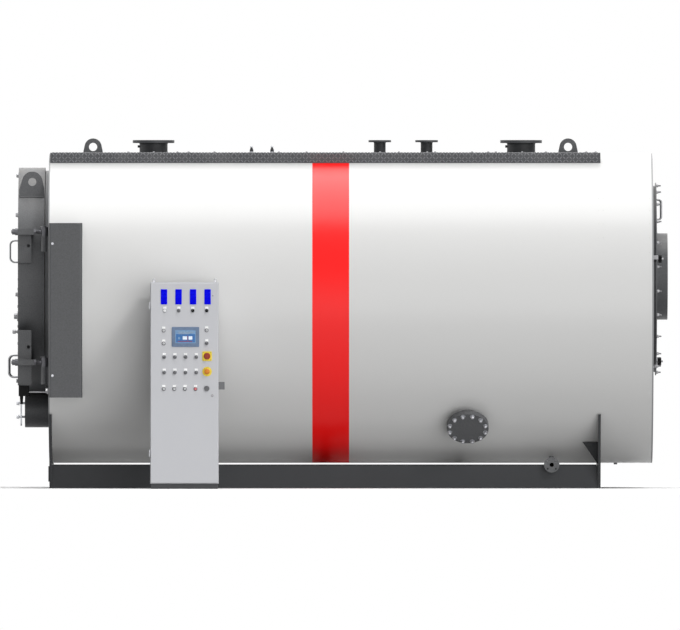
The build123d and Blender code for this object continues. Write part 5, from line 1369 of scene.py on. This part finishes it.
class BOILER_OT_stage(bpy.types.Operator):
    """Set the floor, the soft lamps, the pale surroundings and the camera"""
    bl_idname = "boiler.stage"
    bl_label = "Stage"

    def execute(self, context):
        values = context.scene.boiler_stage
        scene = context.scene
        scene.view_settings.view_transform = "Standard"
        self.surroundings(scene, values)
        self.floor(scene, values)
        tilt, turn = values.overhead_tilt, values.front_turn
        self.lamp(scene, "overhead_lamp", (0, sin(tilt), cos(tilt)), values.overhead, 55)
        self.lamp(scene, "front_lamp", (sin(turn), -cos(turn), -0.06), values.front, 60)
        bounce = self.lamp(scene, "bounce_lamp", (0.2, -0.75, -0.65), values.bounce, 130)
        bounce.use_shadow = False
        self.lamp(scene, "key_lamp", (0.5, -0.5, 0.7), values.key, 9)
        self.lamp(scene, "back_lamp", (0.2, 0.9, 0.45), values.back, 60)
        self.lamp(scene, "side_lamp", (-1, 0.05, 0.2), values.side, 50)
        self.camera(scene, values)
        return {"FINISHED"}

    def surroundings(self, scene, values):
        world = bpy.data.worlds.new("pale_surroundings")
        world.use_nodes = True
        scene.world = world
        graph = Graph(world.node_tree)
        for node in list(world.node_tree.nodes):
            world.node_tree.nodes.remove(node)
        even = graph.add("ShaderNodeBackground", {"Color": (1, 1, 1), "Strength": values.ambient}).outputs[0]
        white = graph.add("ShaderNodeBackground", {"Color": (1, 1, 1), "Strength": 1.0}).outputs[0]
        mixed = graph.add("ShaderNodeMixShader", {0: graph.seen(), 1: even, 2: white}).outputs[0]
        graph.add("ShaderNodeOutputWorld", {"Surface": mixed})

    def floor(self, scene, values):
        mesh = bpy.data.meshes.new("floor")
        reach, rings, sides = 14.0, 8, 64
        level = -0.0005
        points = [polar(reach * k / rings, 2 * pi * i / sides, level)
                  for k in range(1, rings + 1) for i in range(sides)]
        points.append((0, 0, level))
        faces = [[len(points) - 1, i, (i + 1) % sides] for i in range(sides)]
        for k in range(rings - 1):
            low, high = k * sides, (k + 1) * sides
            faces += [[low + i, high + i, high + (i + 1) % sides, low + (i + 1) % sides]
                      for i in range(sides)]
        mesh.from_pydata(points, [], faces)
        floor = bpy.data.objects.new("floor", mesh)
        scene.collection.objects.link(floor)
        floor.visible_shadow = False
        floor.visible_diffuse = False
        material, graph, shader = fresh("pale_floor")
        tone = graph.span(graph.noise(0.7, 4, 0.6), 0.3, 0.7, 0.985, 1.015)
        graph.set(shader, {
            "Base Color": graph.scaled(values.floor, tone), "Roughness": 0.9, "Specular IOR Level": 0.1})
        glow = graph.add("ShaderNodeEmission", {"Color": (1, 1, 1), "Strength": 1.0}).outputs[0]
        away = graph.add("ShaderNodeVectorMath", {0: graph.place()}, operation="LENGTH").outputs["Value"]
        share = graph.times(graph.span(away, 4.0, 11.0), graph.seen())
        mixed = graph.add("ShaderNodeMixShader", {0: share, 1: shader.outputs[0], 2: glow}).outputs[0]
        graph.set(material.node_tree.nodes["Material Output"], {"Surface": mixed})
        mesh.materials.append(material)

    def lamp(self, scene, name, towards, strength, spread):
        data = bpy.data.lights.new(name, "SUN")
        data.energy = strength
        data.angle = radians(spread)
        lamp = bpy.data.objects.new(name, data)
        lamp.location = Vector(towards) * 12
        lamp.rotation_mode = "QUATERNION"
        lamp.rotation_quaternion = (-Vector(towards)).to_track_quat("-Z", "Y")
        scene.collection.objects.link(lamp)
        return data

    def camera(self, scene, values):
        data = bpy.data.cameras.new("side_camera")
        data.sensor_width = 36
        data.lens = data.sensor_width * values.distance / values.view_width
        data.clip_end = 2 * values.distance
        camera = bpy.data.objects.new("side_camera", data)
        camera.location = (values.view_x, -values.distance, values.view_z)
        camera.rotation_euler = (pi / 2, 0, 0)
        scene.collection.objects.link(camera)
        scene.camera = camera


STEPS = (
    BOILER_OT_casing, BOILER_OT_walkway, BOILER_OT_top_fittings, BOILER_OT_handhole, BOILER_OT_skid,
    BOILER_OT_front_door, BOILER_OT_hinge, BOILER_OT_hinge_cover, BOILER_OT_tube_plate,
    BOILER_OT_manhole, BOILER_OT_rear, BOILER_OT_drains, BOILER_OT_cabinet, BOILER_OT_instruments,
    BOILER_OT_stage)
GROUPS = {"boiler_finishes": BoilerFinishes, "boiler_hardware": BoilerHardware, "boiler_stage": BoilerStage}


class BOILER_PT_sidebar(bpy.types.Panel):
    """Lists the boiler's steps and values"""
    bl_label = "Boiler"
    bl_idname = "BOILER_PT_sidebar"
    bl_space_type = "VIEW_3D"
    bl_region_type = "UI"
    bl_category = "Boiler"

    def draw(self, context):
        for step in STEPS:
            self.layout.operator(step.bl_idname)
        for title in GROUPS:
            group = getattr(context.scene, title)
            box = self.layout.box()
            for name in group.bl_rna.properties.keys():
                if name not in ("rna_type", "name"):
                    box.prop(group, name)


def register():
    for kind in (*GROUPS.values(), *STEPS, BOILER_PT_sidebar):
        bpy.utils.register_class(kind)
    for name, group in GROUPS.items():
        setattr(bpy.types.Scene, name, bpy.props.PointerProperty(type=group))


def unregister():
    for name in GROUPS:
        delattr(bpy.types.Scene, name)
    for kind in reversed((*GROUPS.values(), *STEPS, BOILER_PT_sidebar)):
        bpy.utils.unregister_class(kind)


def main():
    register()
    for step in STEPS:
        group, name = step.bl_idname.split(".")
        getattr(getattr(bpy.ops, group), name)()
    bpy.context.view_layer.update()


if __name__ == "__main__":
    main()
